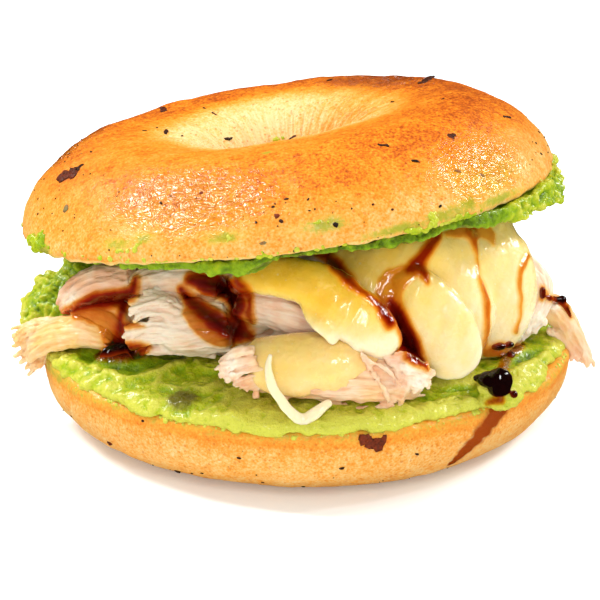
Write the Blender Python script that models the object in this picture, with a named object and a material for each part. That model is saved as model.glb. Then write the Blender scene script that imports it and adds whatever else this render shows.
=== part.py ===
"""A bagel sandwich: a cut bagel with mashed avocado, pulled chicken, melted cheese and a dark sweet sauce.

Lengths are written in millimetres and turned into metres by MM where a mesh is made.
X runs to the sandwich's right, Y to its back and Z up, and the bagel's own axis is at BAGEL_AXIS.
"""

import math
import random

import bmesh
import bpy
import numpy as np
from mathutils import Matrix, Vector, noise

MM = 0.001

# Driving dimensions of the bagel
BAGEL_RADIUS = 56.0
BAGEL_AXIS = (1.2, -0.1)
CUT_HEIGHT = 16.0
BASE_ROUNDING = 16.0
BASE_FULLNESS = 2.5
HOLE_RADIUS = 11.5
BASE_HOLE_RADIUS = 19.0
BASE_HOLE_FULLNESS = 2.2
CRUST_EDGE = 0.9

# The upper half, which the filling props up at the front and at the right
LID_RADIUS = 55.0
LID_HEIGHT = 16.1
LID_CREST_RADIUS = 35.4
LID_CENTRE = (-4.0, 0.1, 46.3)
LID_TILT_BACK = math.radians(-4.15)
LID_TILT_SIDE = math.radians(-6.88)
LID_FULLNESS = 1.67
LID_HOLE_FULLNESS = 2.5

# Clearance kept between neighbouring pieces, and the soft layers' usual thickness
GAP = 0.35
SPREAD_THICKNESS = 3.4
UPPER_SPREAD_THICKNESS = 2.6

RING_STEPS = 44

COLOURS = {
    "crust": ((0.80, 0.42, 0.13), 0.45),
    "avocado": ((0.42, 0.55, 0.07), 0.35),
    "chicken": ((0.83, 0.58, 0.40), 0.45),
    "cheese": ((0.88, 0.70, 0.28), 0.25),
}


def clear_scene():
    for thing in list(bpy.data.objects):
        bpy.data.objects.remove(thing)


def food_material(name):
    colour, roughness = COLOURS[name]
    material = bpy.data.materials.get(name) or bpy.data.materials.new(name)
    material.use_nodes = True
    shader = material.node_tree.nodes["Principled BSDF"]
    shader.inputs["Base Color"].default_value = (*colour, 1.0)
    shader.inputs["Roughness"].default_value = roughness
    shader.inputs["Metallic"].default_value = 0.0
    return material


def make_object(name, points, faces, material_name):
    """An object from points in millimetres round the bagel's axis, with its faces turned outwards."""
    offset = np.array([BAGEL_AXIS[0], BAGEL_AXIS[1], 0.0])
    mesh = bpy.data.meshes.new(name)
    mesh.from_pydata(((np.asarray(points, float) + offset) * MM).tolist(), [], faces)
    shape = bmesh.new()
    shape.from_mesh(mesh)
    bmesh.ops.recalc_face_normals(shape, faces=shape.faces)
    shape.to_mesh(mesh)
    shape.free()
    mesh.materials.append(food_material(material_name))
    mesh.shade_smooth()
    thing = bpy.data.objects.new(name, mesh)
    bpy.context.scene.collection.objects.link(thing)
    return thing


def evaluate_mesh(thing):
    """Gives the object the mesh that its modifiers make, and takes the modifiers off."""
    graph = bpy.context.evaluated_depsgraph_get()
    made = bpy.data.meshes.new_from_object(thing.evaluated_get(graph))
    thing.modifiers.clear()
    thing.data = made


def keep_largest_body(thing):
    """Drops the loose scraps that a cut leaves beside the piece, also those that touch it at one point."""
    shape = bmesh.new()
    shape.from_mesh(thing.data)
    unseen = set(shape.faces)
    bodies = []
    while unseen:
        body = {unseen.pop()}
        front = list(body)
        while front:
            face = front.pop()
            for edge in face.edges:
                for other in edge.link_faces:
                    if other not in body:
                        body.add(other)
                        front.append(other)
        unseen -= body
        bodies.append(body)
    bodies.sort(key=lambda body: sum(face.calc_area() for face in body))
    for body in bodies[:-1]:
        bmesh.ops.delete(shape, geom=list(body), context="FACES")
    shape.to_mesh(thing.data)
    shape.free()


def fuse(thing, extras):
    """Joins the extra shapes to the object by one Boolean union."""
    if not extras:
        return thing
    group = bpy.data.collections.new(thing.name + "_extras")
    bpy.context.scene.collection.children.link(group)
    for extra in extras:
        bpy.context.scene.collection.objects.unlink(extra)
        group.objects.link(extra)
    union = thing.modifiers.new("union", "BOOLEAN")
    union.operation = "UNION"
    union.operand_type = "COLLECTION"
    union.collection = group
    union.solver = "MANIFOLD"
    evaluate_mesh(thing)
    for extra in extras:
        bpy.data.objects.remove(extra)
    bpy.data.collections.remove(group)
    keep_largest_body(thing)
    return thing


def boxes_meet(first, second):
    a = np.array([corner.co for corner in first.data.vertices])
    b = np.array([corner.co for corner in second.data.vertices])
    margin = GAP * MM
    return bool((a.min(0) - margin < b.max(0)).all() and (b.min(0) - margin < a.max(0)).all())


def swollen_copy(thing):
    """A cutter: the object grown by the clearance along its normals."""
    mesh = thing.data.copy()
    normals = [corner.normal.copy() for corner in mesh.vertices]
    for corner, normal in zip(mesh.vertices, normals):
        corner.co += normal * (GAP * MM)
    cutter = bpy.data.objects.new(thing.name + "_cutter", mesh)
    bpy.context.scene.collection.objects.link(cutter)
    cutter.hide_render = True
    cutter.display_type = "WIRE"
    return cutter


def carve(thing, neighbours):
    """Cuts the object back from its neighbours, so that they lie against each other with a clearance."""
    for neighbour in neighbours:
        if not boxes_meet(thing, neighbour):
            continue
        cutter = swollen_copy(neighbour)
        cut = thing.modifiers.new("cut", "BOOLEAN")
        cut.operation = "DIFFERENCE"
        cut.object = cutter
        cut.solver = "MANIFOLD"
        evaluate_mesh(thing)
        bpy.data.objects.remove(cutter)
    keep_largest_body(thing)
    return thing


def arc(count):
    """Angles from 0 to a quarter turn."""
    return np.linspace(0.0, math.pi / 2, count)


def quarter_curve(start, end, fullness, count):
    """Points (r, z) from start to end on a superellipse quarter that leaves start upwards or downwards."""
    angles = arc(count)
    along = np.sin(angles) ** (2 / fullness)
    across = 1 - np.cos(angles) ** (2 / fullness)
    return [
        (start[0] + (end[0] - start[0]) * x, start[1] + (end[1] - start[1]) * z)
        for x, z in zip(across, along)
    ]


def uneven(angle, waves):
    """A sum of slow waves round the ring, each given as (count, size, phase)."""
    return sum(size * math.cos(count * angle + phase) for count, size, phase in waves)


def turn_ring(profile, outline_waves, height_waves=(), steps=RING_STEPS):
    """Points and faces of a closed ring: the profile (r, z) turned about Z, with slow waves in both."""
    points = []
    for step in range(steps):
        angle = 2 * math.pi * step / steps
        grow = 1 + uneven(angle, outline_waves)
        for r, z in profile:
            rise = 1 + uneven(angle, height_waves)
            points.append((r * grow * math.cos(angle), r * grow * math.sin(angle), z * rise))
    return points, ring_faces(steps, len(profile))


def ring_faces(steps, across):
    return [
        (
            step * across + k,
            ((step + 1) % steps) * across + k,
            ((step + 1) % steps) * across + (k + 1) % across,
            step * across + (k + 1) % across,
        )
        for step in range(steps)
        for k in range(across)
    ]


def lid_matrix():
    """Places the upper half: its own frame has the cut face at z = 0."""
    return (
        Matrix.Translation(Vector(LID_CENTRE))
        @ Matrix.Rotation(LID_TILT_SIDE, 4, "Y")
        @ Matrix.Rotation(LID_TILT_BACK, 4, "X")
    )


def moved(points, matrix):
    return [tuple(matrix @ Vector(point)) for point in points]


def smooth_path(points, count):
    """A Catmull-Rom curve through the points, read at count places."""
    knots = np.asarray(points, float)
    padded = np.vstack([2 * knots[0] - knots[1], knots, 2 * knots[-1] - knots[-2]])
    places = np.linspace(0, len(knots) - 1, count)
    curve = []
    for place in places:
        k = min(int(place), len(knots) - 2)
        t = place - k
        a, b, c, d = padded[k : k + 4]
        curve.append(
            0.5 * (2 * b + (c - a) * t + (2 * a - 5 * b + 4 * c - d) * t**2 + (3 * b - a - 3 * c + d) * t**3)
        )
    return np.array(curve)


def read_along(values, count):
    return np.interp(np.linspace(0, len(values) - 1, count), range(len(values)), values)


def sweep(name, spine, widths, depths, facing, material_name, rings=8, sides=12, ridges=0, ridge_depth=0.0):
    """A closed strip of flattened round section along the spine; facing is the way its flat side looks."""
    curve = smooth_path(spine, rings)
    width = read_along(widths, rings)
    depth = read_along(depths, rings)
    tangents = np.gradient(curve, axis=0)
    tangents /= np.linalg.norm(tangents, axis=1)[:, None]
    outward = np.array(facing, float)
    points = []
    for centre, tangent, w, d in zip(curve, tangents, width, depth):
        normal = outward - tangent * (outward @ tangent)
        normal /= np.linalg.norm(normal)
        side = np.cross(tangent, normal)
        for k in range(sides):
            angle = 2 * math.pi * k / sides
            swell = 1 + ridge_depth * math.cos(ridges * angle)
            points.append(
                centre
                + side * (math.cos(angle) * w / 2 * swell)
                + normal * (math.sin(angle) * d / 2 * swell)
            )
    faces = [
        (r * sides + k, r * sides + (k + 1) % sides, (r + 1) * sides + (k + 1) % sides, (r + 1) * sides + k)
        for r in range(rings - 1)
        for k in range(sides)
    ]
    tip_reach = 0.35
    first_tip = len(points)
    points.append(curve[0] - tangents[0] * min(width[0], depth[0]) * tip_reach)
    points.append(curve[-1] + tangents[-1] * min(width[-1], depth[-1]) * tip_reach)
    last = (rings - 1) * sides
    for k in range(sides):
        faces.append((first_tip, (k + 1) % sides, k))
        faces.append((first_tip + 1, last + k, last + (k + 1) % sides))
    return make_object(name, points, faces, material_name)


def blob(name, centre, radii, material_name, bump=0.0, bump_size=6.0, detail=2, seed=0.0):
    """A round lump with uneven bumps, of the given radii."""
    shape = bmesh.new()
    bmesh.ops.create_icosphere(shape, subdivisions=detail, radius=1.0)
    points = []
    for corner in shape.verts:
        place = Vector(corner.co[i] * radii[i] for i in range(3))
        swell = 1 + bump * noise.noise(place / bump_size + Vector((seed, 0.0, 0.0)))
        points.append(Vector(centre) + place * swell)
    faces = [tuple(corner.index for corner in face.verts) for face in shape.faces]
    shape.free()
    return make_object(name, points, faces, material_name)


# The bread


BASE_OUTLINE_WAVES = ((2, 0.004, 0.4), (3, 0.004, 1.9), (5, 0.003, 0.7))
# The lower half leans: its underside lies this far to the left of its cut face
BASE_LEAN = 0.7


def lower_half():
    below_edge = CUT_HEIGHT - CRUST_EDGE
    outer = quarter_curve((BAGEL_RADIUS, below_edge), (BAGEL_RADIUS - BASE_ROUNDING, 0.0), BASE_FULLNESS, 7)
    inner = quarter_curve((HOLE_RADIUS, below_edge), (BASE_HOLE_RADIUS, 0.0), BASE_HOLE_FULLNESS, 4)
    cut_face = [(HOLE_RADIUS + CRUST_EDGE, CUT_HEIGHT), (BAGEL_RADIUS - CRUST_EDGE, CUT_HEIGHT)]
    profile = cut_face + outer + inner[::-1]
    points, faces = turn_ring(profile, BASE_OUTLINE_WAVES)
    points = [(x - BASE_LEAN * (1 - z / CUT_HEIGHT), y, z) for x, y, z in points]
    return make_object("bagel_bottom", points, faces, "crust")


LID_OUTLINE_WAVES = ((1, 0.005, 3.14), (2, 0.004, 1.2), (3, 0.004, 0.3), (5, 0.003, 2.0))
LID_HEIGHT_WAVES = ((1, 0.045, -0.4), (2, 0.01, 1.0), (3, 0.01, 2.2))
# The lid's lower edge sags past the cut face at the front left
SAG_DIRECTION = 205
SAG_HALF_WIDTH = 28
SAG_DEPTH = 1.6


def upper_half():
    outer = quarter_curve((LID_RADIUS, CRUST_EDGE), (LID_CREST_RADIUS, LID_HEIGHT), LID_FULLNESS, 8)
    inner = quarter_curve((HOLE_RADIUS, CRUST_EDGE), (LID_CREST_RADIUS, LID_HEIGHT), LID_HOLE_FULLNESS, 6)
    cut_face = [(HOLE_RADIUS + CRUST_EDGE, 0.0), (LID_RADIUS - CRUST_EDGE, 0.0)]
    profile = cut_face + outer + inner[-2::-1]
    points, faces = turn_ring(profile, LID_OUTLINE_WAVES, LID_HEIGHT_WAVES)
    points = [(x, y, z - lid_sag(x, y, z)) for x, y, z in points]
    return make_object("bagel_top", moved(points, lid_matrix()), faces, "crust")


def lid_sag(x, y, z):
    """How far the lid's lower edge hangs down at a place, which fades towards the crest and the hole."""
    outwards = min(1.0, max(0.0, (math.hypot(x, y) - 44.0) / 8.0))
    downwards = max(0.0, 1 - z / LID_HEIGHT)
    return SAG_DEPTH * outwards * downwards * lobe_at(math.atan2(y, x), SAG_DIRECTION, SAG_HALF_WIDTH)


CRUST_FLAKES = (
    # Piece, angle round the bagel in degrees, share of the way up the outer side, length and width
    ("bagel_top", 206, 0.58, 5.4, 3.6),
    ("bagel_top", 142, 0.98, 5.6, 2.6),
    ("bagel_top", 214, 0.98, 3.6, 2.6),
    ("bagel_top", 30, 0.94, 6.4, 2.8),
    ("bagel_top", 311, 0.38, 3.4, 2.4),
    ("bagel_top", 90, 0.45, 5.0, 3.2),
    ("bagel_top", 118, 0.72, 4.0, 2.8),
    ("bagel_bottom", 282, 0.93, 5.6, 4.4),
    ("bagel_bottom", 241, 0.46, 3.6, 2.6),
    ("bagel_bottom", 60, 0.60, 5.0, 3.4),
    ("bagel_bottom", 130, 0.50, 4.0, 3.0),
)
FLAKE_THICKNESS = 1.7


def add_flakes(thing, matrix, profile_at):
    """Fuses thin charred flakes to the crust, half sunk in it."""
    flakes = []
    for k, (owner, degrees, share, length, width) in enumerate(CRUST_FLAKES):
        if owner != thing.name:
            continue
        angle = math.radians(degrees)
        r, z = profile_at(share)
        r_beyond, z_beyond = profile_at(share + 0.02)
        centre = Vector((r * math.cos(angle), r * math.sin(angle), z))
        away = Vector((math.cos(angle), math.sin(angle), 0.0))
        up = (away * (r_beyond - r) + Vector((0.0, 0.0, z_beyond - z))).normalized()
        round_ring = Vector((-math.sin(angle), math.cos(angle), 0.0))
        outward = round_ring.cross(up)
        along = (round_ring + up * (0.5 * (-1) ** k)).normalized()
        ends = [tuple(matrix @ (centre + along * (length * reach))) for reach in (-0.42, -0.1, 0.4)]
        depths = (0.7 * FLAKE_THICKNESS, FLAKE_THICKNESS, 0.7 * FLAKE_THICKNESS)
        flakes.append(
            sweep(f"flake_{k}", ends, (0.45 * width, width, 0.35 * width), depths, matrix.to_3x3() @ outward,
                  "crust", rings=4, sides=6)
        )
    return fuse(thing, flakes)


def lid_side(share):
    """A point (r, z) on the lid's outer side, at a share of the way from the cut edge to the crest."""
    angle = share * math.pi / 2
    reach = math.cos(angle) ** (2 / LID_FULLNESS) if share < 1 else 0.0
    rise = math.sin(angle) ** (2 / LID_FULLNESS)
    return LID_CREST_RADIUS + (LID_RADIUS - LID_CREST_RADIUS) * reach, LID_HEIGHT * rise


def base_side(share):
    """A point (r, z) on the lower half's outer side, at a share of the way from the base to the cut edge."""
    angle = share * math.pi / 2
    reach = math.sin(angle) ** (2 / BASE_FULLNESS)
    rise = 1 - math.cos(angle) ** (2 / BASE_FULLNESS)
    return BAGEL_RADIUS - BASE_ROUNDING + BASE_ROUNDING * reach, CUT_HEIGHT * rise


# The chicken: each pulled piece is a flat bundle of fibres with torn ends

CAMERA_SIDE = (0.0, -0.8, 0.6)
CHICKEN_PIECES = {
    # spine, widths, depths, facing, torn strands at the start and at the end
    "chicken_left_strip": (
        [(-39.5, -25, 22.5), (-46, -22.5, 23), (-52, -19.5, 21), (-56, -17, 18.5), (-59, -15.5, 15.5)],
        (5.0, 6.6, 6.6, 7.0, 7.4), (3.4, 4.4, 4.0, 3.2, 2.2), (-0.25, -0.75, 0.6), 0, 4,
    ),
    "chicken_upper_left": (
        [(-49.5, -15, 25.5), (-46, -18, 29.5), (-40.5, -21, 33), (-34, -23, 34.5)],
        (3.5, 6.5, 8.5, 8.0), (3.5, 6.5, 8.0, 7.0), (-0.4, -0.8, 0.4), 2, 0,
    ),
    "chicken_sauced_left": (
        [(-47, -18, 25.5), (-42.5, -20.5, 27), (-38, -22.5, 26), (-35.5, -24, 22.5)],
        (5.0, 6.5, 7.5, 5.5), (4.0, 6.0, 6.0, 4.5), (-0.3, -0.9, 0.3), 0, 0,
    ),
    "chicken_mid_left": (
        [(-35.5, -27.5, 25.5), (-31, -29, 26.5), (-24, -31, 28), (-15, -32, 29)],
        (5.5, 8.5, 12.0, 12.0), (3.5, 6.0, 8.0, 7.5), (-0.1, -0.85, 0.5), 4, 0,
    ),
    "chicken_under_lid": (
        [(-35, -23.5, 33), (-29, -26.5, 35.5), (-23, -28.5, 36.5), (-17, -30, 36)],
        (4.5, 6.0, 6.5, 5.5), (5.0, 7.0, 7.0, 6.0), (0.0, -0.9, 0.4), 2, 0,
    ),
    "chicken_centre": (
        [(-13, -33, 33.5), (-7, -35.5, 33.5), (-1, -38, 32.5), (5, -38.5, 31.5)],
        (6.0, 8.0, 8.0, 6.0), (5.0, 7.5, 7.5, 6.0), (0.0, -0.9, 0.4), 2, 0,
    ),
    "chicken_front": (
        [(-14.5, -41.5, 22.5), (-7.5, -44.5, 25), (3, -46.5, 25.5), (13, -46, 25), (22, -42.5, 22)],
        (6.5, 11.0, 13.0, 13.5, 9.5), (4.5, 8.0, 9.0, 8.5, 5.5), CAMERA_SIDE, 3, 4,
    ),
    "chicken_right_chunk": (
        [(43, -15.5, 35), (45.5, -17, 30.5), (44.5, -18.5, 26), (40.5, -21, 22)],
        (6.0, 9.0, 8.5, 5.5), (8.0, 10.0, 9.0, 5.0), (0.55, -0.75, 0.3), 0, 2,
    ),
    "chicken_right_strip": (
        [(47.5, -15, 26.5), (51, -14, 24.5), (54, -12.5, 20.5), (56.5, -11.5, 16), (58, -10.5, 12.5)],
        (5.0, 6.0, 5.0, 4.4, 3.4), (4.0, 4.8, 4.0, 3.2, 2.4), (0.5, -0.7, 0.5), 0, 2,
    ),
    "chicken_back_strip": (
        [(-31, 36, 25.5), (-20, 44, 28), (-7, 48, 27), (6, 48.5, 24)],
        (6.0, 9.5, 10.0, 7.0), (4.5, 7.5, 8.0, 5.0), (-0.2, 0.85, 0.4), 3, 3,
    ),
}
STRAND_WIDTH = 2.3


def torn_strands(name, spine, widths, depths, facing, count, at_end, draw):
    """Separate strands that run out of one end of a pulled piece, fanning a little."""
    line = spine if at_end else spine[::-1]
    end_width = widths[-1] if at_end else widths[0]
    tip, inner = np.array(line[-1], float), np.array(line[-2], float)
    tangent = (tip - inner) / np.linalg.norm(tip - inner)
    outward = np.array(facing, float)
    outward -= tangent * (outward @ tangent)
    side = np.cross(tangent, outward / np.linalg.norm(outward))
    strands = []
    for k in range(count):
        place = (k + 0.5) / count - 0.5
        start = inner + side * (place * end_width * 0.6)
        middle = tip + side * (place * end_width * 0.85)
        reach = draw.uniform(1.5, 4.0)
        fan = side * (place * end_width * 0.2 + draw.uniform(-0.3, 0.3))
        end = middle + tangent * reach + fan - outward * draw.uniform(0.0, 0.4)
        widths, depths = (STRAND_WIDTH, STRAND_WIDTH, 1.1), (STRAND_WIDTH, 2.0, 1.0)
        label = f"{name}_strand_{at_end}_{k}"
        strands.append(
            sweep(label, [start, middle, end], widths, depths, facing, "chicken", rings=3, sides=5)
        )
    return strands


def pulled_chicken(name):
    spine, widths, depths, facing, start_strands, end_strands = CHICKEN_PIECES[name]
    draw = random.Random(name)
    body = sweep(name, spine, widths, depths, facing, "chicken", 7, 12, ridges=6, ridge_depth=0.05)
    strands = torn_strands(name, spine, widths, depths, facing, start_strands, False, draw)
    strands += torn_strands(name, spine, widths, depths, facing, end_strands, True, draw)
    return fuse(body, strands)


HEAP_CENTRE = (1.0, 5.0)
HEAP_BASE = CUT_HEIGHT + 2.0
HEAP_RADIUS = 41.0
HEAP_STRETCH_TO_BACK = 0.1


def chicken_heap():
    """The mass of pulled chicken between the two halves, widest at half its height, with shreds round it."""
    steps, levels = 26, 5
    points = [(*HEAP_CENTRE, HEAP_BASE)]
    for level in range(levels):
        share = level / (levels - 1)
        for step in range(steps):
            angle = 2 * math.pi * step / steps
            rough = noise.noise(Vector((math.cos(angle) * 1.7, math.sin(angle) * 1.7, share * 1.5)))
            bulge = math.sin(math.pi * (0.25 + 0.6 * share)) ** 0.45
            radius = HEAP_RADIUS * bulge * (1 + 0.2 * rough)
            radius *= 1 + HEAP_STRETCH_TO_BACK * math.sin(angle)
            x = HEAP_CENTRE[0] + radius * math.cos(angle)
            y = HEAP_CENTRE[1] + radius * math.sin(angle)
            points.append((x, y, HEAP_BASE + share * (filling_top(x, y) - HEAP_BASE)))
    points.append((*HEAP_CENTRE, filling_top(*HEAP_CENTRE)))
    faces = []
    for step in range(steps):
        after = (step + 1) % steps
        faces.append((0, 1 + after, 1 + step))
        faces.append((len(points) - 1, 1 + (levels - 1) * steps + step, 1 + (levels - 1) * steps + after))
        for level in range(levels - 1):
            low, high = 1 + level * steps, 1 + (level + 1) * steps
            faces.append((low + step, low + after, high + after, high + step))
    return fuse(make_object("chicken_heap", points, faces, "chicken"), heap_shreds())


def heap_shreds():
    """Shreds at the sides and the back, each lying along the outline at its own height and slope."""
    draw = random.Random(9)
    shreds = []
    count = 19
    for k in range(count):
        bearing = math.radians(-28 + 236 * (k + 0.5) / count + draw.uniform(-4, 4))
        height = HEAP_BASE + 3.5 + 16.0 * ((k * 0.618) % 1.0)
        radius = HEAP_RADIUS * (1 + HEAP_STRETCH_TO_BACK * math.sin(bearing)) + draw.uniform(-0.5, 1.5)
        reach = draw.uniform(6.0, 10.0)
        slope = draw.uniform(-0.5, 0.5)
        spine = []
        for share, inwards in ((-1.0, 1.5), (0.0, 0.0), (1.0, draw.uniform(-2.0, 2.0))):
            place = bearing + share * reach / radius
            spine.append(
                (
                    HEAP_CENTRE[0] + (radius - inwards) * math.cos(place),
                    HEAP_CENTRE[1] + (radius - inwards) * math.sin(place),
                    height + slope * reach * share,
                )
            )
        outward = (math.cos(bearing), math.sin(bearing), 0.3)
        width = draw.uniform(5.5, 8.5)
        widths, depths = (0.6 * width, width, 0.5 * width), (3.5, 5.5, 3.0)
        shreds.append(sweep(f"shred_{k}", spine, widths, depths, outward, "chicken", rings=3, sides=6))
    return shreds


def filling_top(x, y):
    """Height under the tilted lid's spread, at a place in plan."""
    matrix = lid_matrix()
    normal = (matrix.to_3x3() @ Vector((0, 0, 1))).normalized()
    centre = Vector(LID_CENTRE) - normal * (UPPER_SPREAD_THICKNESS + 0.5)
    return centre.z - (normal.x * (x - centre.x) + normal.y * (y - centre.y)) / normal.z


# The cheese: melted slices that hang over the chicken, with the thick sauce run over them


def sauce_run(name, spine, widths):
    depths = [0.75 * width for width in widths]
    return sweep(name, spine, widths, depths, CAMERA_SIDE, "cheese", rings=7, sides=6)


def cheese_left_slice():
    spine = [(-9, -38, 40), (-3, -41.5, 41), (4, -44.5, 39.5), (10, -47, 35.5), (13.5, -47.5, 31)]
    widths, depths = (7.0, 8.5, 9.0, 9.5, 8.0), (4.0, 5.5, 6.0, 6.0, 4.5)
    return sweep("cheese_left_slice", spine, widths, depths, CAMERA_SIDE, "cheese", rings=8, sides=12)


def cheese_right_slice():
    """Two folds side by side below a flat stretch, and the sauce that ran down them."""
    fold = sweep("cheese_right_slice",
                 [(20, -36, 40), (24, -38, 36.5), (26.5, -38.5, 31.5), (27, -38, 26), (26.5, -36.5, 21.5)],
                 (7.0, 10.0, 11.5, 11.0, 7.5), (6.0, 8.0, 8.5, 8.0, 5.5), (0.15, -0.85, 0.5), "cheese",
                 rings=8, sides=12)
    wide_fold = sweep("wide_fold",
                      [(31, -20.5, 44), (34.5, -24, 39), (36, -26, 33), (34.5, -26.5, 27), (32, -27.5, 22.5)],
                      (12.0, 15.0, 16.5, 14.5, 9.0), (8.0, 9.5, 10.0, 9.0, 6.0), (0.35, -0.85, 0.4), "cheese",
                      rings=8, sides=12)
    flat = sweep("flat", [(5, -33, 41.5), (14, -34, 42.5), (22, -31.5, 43.5), (30, -26, 43)],
                 (7.0, 9.0, 10.0, 9.0), (6.0, 8.0, 9.0, 8.0), (0.15, -0.9, 0.4), "cheese", rings=6, sides=10)
    wide_run = sauce_run("wide_run", [(8, -38.5, 44), (13, -41, 41.5), (17.5, -42.5, 38), (19.5, -43, 33),
                                      (21, -42.5, 28), (22.5, -41.5, 24.5)], (2.6, 3.4, 5.0, 5.0, 4.2, 3.0))
    upper_run = sauce_run("upper_run", [(27.5, -31, 48), (23.5, -36, 44.5), (19.5, -40, 41.5),
                                        (18.5, -42, 37.5)], (2.6, 3.4, 3.4, 3.0))
    thin_run = sauce_run("thin_run", [(32.5, -27, 47), (33, -30.5, 42), (34, -32, 36.5), (35, -31.5, 31),
                                      (34, -31.5, 24.5)], (1.8, 1.8, 2.0, 2.2, 2.0))
    edge_run = sauce_run("edge_run", [(43, -22, 38.5), (43, -24.5, 34), (42.5, -25, 29), (41, -25, 25.5)],
                         (1.7, 1.9, 1.7, 1.4))
    return fuse(fold, [wide_fold, flat, wide_run, upper_run, thin_run, edge_run])


def cheese_front_melt():
    film = sweep("cheese_front_melt", [(-12, -44, 27.5), (-5, -47, 29.5), (4, -48.5, 29.5), (12, -47.5, 28)],
                 (6.0, 9.5, 10.0, 6.5), (3.0, 4.5, 4.5, 3.0), CAMERA_SIDE, "cheese", rings=7, sides=12)
    string = sweep("string", [(-7, -49.5, 29), (-6.5, -51.5, 25.5), (-5, -53.2, 21.3), (-2, -53.6, 19),
                              (2, -52.5, 20)], (3.0, 3.0, 3.2, 3.2, 2.2), (2.4, 2.4, 2.4, 2.4, 2.0),
                   (0.0, -0.9, 0.3), "cheese", rings=8, sides=6)
    return fuse(film, [string])


def cheese_back_fold():
    """Where a slice hangs out at the back."""
    spine = [(13, 38, 40.5), (16.5, 44.5, 38), (18.5, 48, 33), (19, 49, 27.5)]
    return sweep("cheese_back_fold", spine, (10.0, 14.0, 13.0, 8.0), (4.5, 5.5, 5.5, 3.5), (0.2, 0.85, 0.4),
                 "cheese", rings=7, sides=12)


# The mashed avocado


def mash_height(x, y):
    """Uneven height of the lower spread over the cut face."""
    place = Vector((x, y, 0.0))
    return 1.1 * noise.noise(place / 9.0) + 0.55 * noise.noise(place / 4.0 + Vector((5.0, 0.0, 0.0)))


def lower_spread():
    """Mashed avocado on the lower half, thin at the rim, with the mound that bulges out at the left."""
    floor = CUT_HEIGHT + GAP
    radii = (HOLE_RADIUS + 1.0, 20.0, 30.0, 38.0, 44.5, 49.5, 53.0)
    points = []
    steps = 52
    for step in range(steps):
        angle = 2 * math.pi * step / steps
        grow = 1 + 0.012 * noise.noise(Vector((3 * math.cos(angle), 3 * math.sin(angle), 2.0)))
        grow += 0.004 * math.cos(9 * angle)
        ring = [(radii[0] + 0.5, floor), (radii[-1], floor)]
        for r in reversed(radii):
            x, y = r * math.cos(angle), r * math.sin(angle)
            from_rim = min(1.0, (radii[-1] + 1.5 - r) / 14.0)
            from_hole = min(1.0, (r - radii[0] + 1.5) / 6.0)
            body = SPREAD_THICKNESS * from_rim**0.5 * from_hole**0.5
            ring.append((r, floor + max(0.6, body + mash_height(x, y) * from_rim**0.5)))
        for r, z in ring:
            points.append((r * grow * math.cos(angle), r * grow * math.sin(angle), z))
    spread = make_object("avocado_lower", points, ring_faces(steps, len(radii) + 2), "avocado")
    lumps = [
        blob("mound", (-51.5, 1.5, 20.5), (7.5, 10.0, 7.0), "avocado", 0.35, 4.0, 3, 1.0),
        blob("mound_top", (-46.5, 3.0, 26.5), (5.5, 8.0, 6.0), "avocado", 0.35, 4.0, 2, 4.0),
        blob("sauce_drop", (35.3, -39.5, 18.6), (4.6, 3.2, 2.7), "avocado", 0.0, 4.0, 2),
        blob("sauce_pool", (-36.5, -27.5, 18.6), (5.0, 3.0, 1.5), "avocado", 0.0, 4.0, 2),
    ]
    return fuse(spread, lumps)


def upper_spread():
    """Mashed avocado under the lid: it bulges past the edge at the right and droops at the front."""
    matrix = lid_matrix()
    radii = (HOLE_RADIUS + 1.5, 26.0, 40.0, 47.5, 53.0)
    points = []
    steps = 52
    for step in range(steps):
        angle = 2 * math.pi * step / steps
        bulge = lobe_at(angle, -18, 30)
        droop = lobe_at(angle, -122, 12) + 0.6 * lobe_at(angle, -72, 10)
        edge = noise.noise(Vector((8 * math.cos(angle), 8 * math.sin(angle), 0.0)))
        ring = [(radii[0], -GAP), (radii[-1] + 3.2 * bulge + 0.6 * edge, -GAP)]
        for r in reversed(radii):
            x, y = r * math.cos(angle), r * math.sin(angle)
            rim_share = max(0.0, (r - 40.0) / 13.0)
            depth = UPPER_SPREAD_THICKNESS * (0.75 if r == radii[-1] else 1.0)
            depth += rim_share * (2.0 * bulge + 1.8 * droop + edge * (0.6 + 2 * bulge))
            depth += 0.5 * noise.noise(Vector((x, y, 3.0)) / 6.0)
            out = (4.4 * bulge + edge * (0.8 + 1.6 * bulge)) if r == radii[-1] else 0.0
            ring.append((r + out, -GAP - depth))
        for r, z in ring:
            points.append((r * math.cos(angle), r * math.sin(angle), z))
    return make_object("avocado_upper", moved(points, matrix), ring_faces(steps, len(radii) + 2), "avocado")


def lobe_at(angle, centre_degrees, half_width_degrees):
    """A smooth bump in angle, from 0 to 1, centred on one direction."""
    away = math.degrees(math.atan2(math.sin(angle - math.radians(centre_degrees)),
                                   math.cos(angle - math.radians(centre_degrees))))
    return math.exp(-((away / half_width_degrees) ** 2))


def lid_keep_out():
    """A cutter: the space that the lid and its own cut face take."""
    half = 80.0
    corners = [(x, y, z) for z in (-GAP - 0.4, 40.0) for y in (-half, half) for x in (-half, half)]
    faces = [(0, 2, 3, 1), (4, 5, 7, 6), (0, 1, 5, 4), (2, 6, 7, 3), (0, 4, 6, 2), (1, 3, 7, 5)]
    cutter = make_object("lid_keep_out", moved(corners, lid_matrix()), faces, "crust")
    cutter.hide_render = True
    cutter.display_type = "WIRE"
    return cutter


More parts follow.
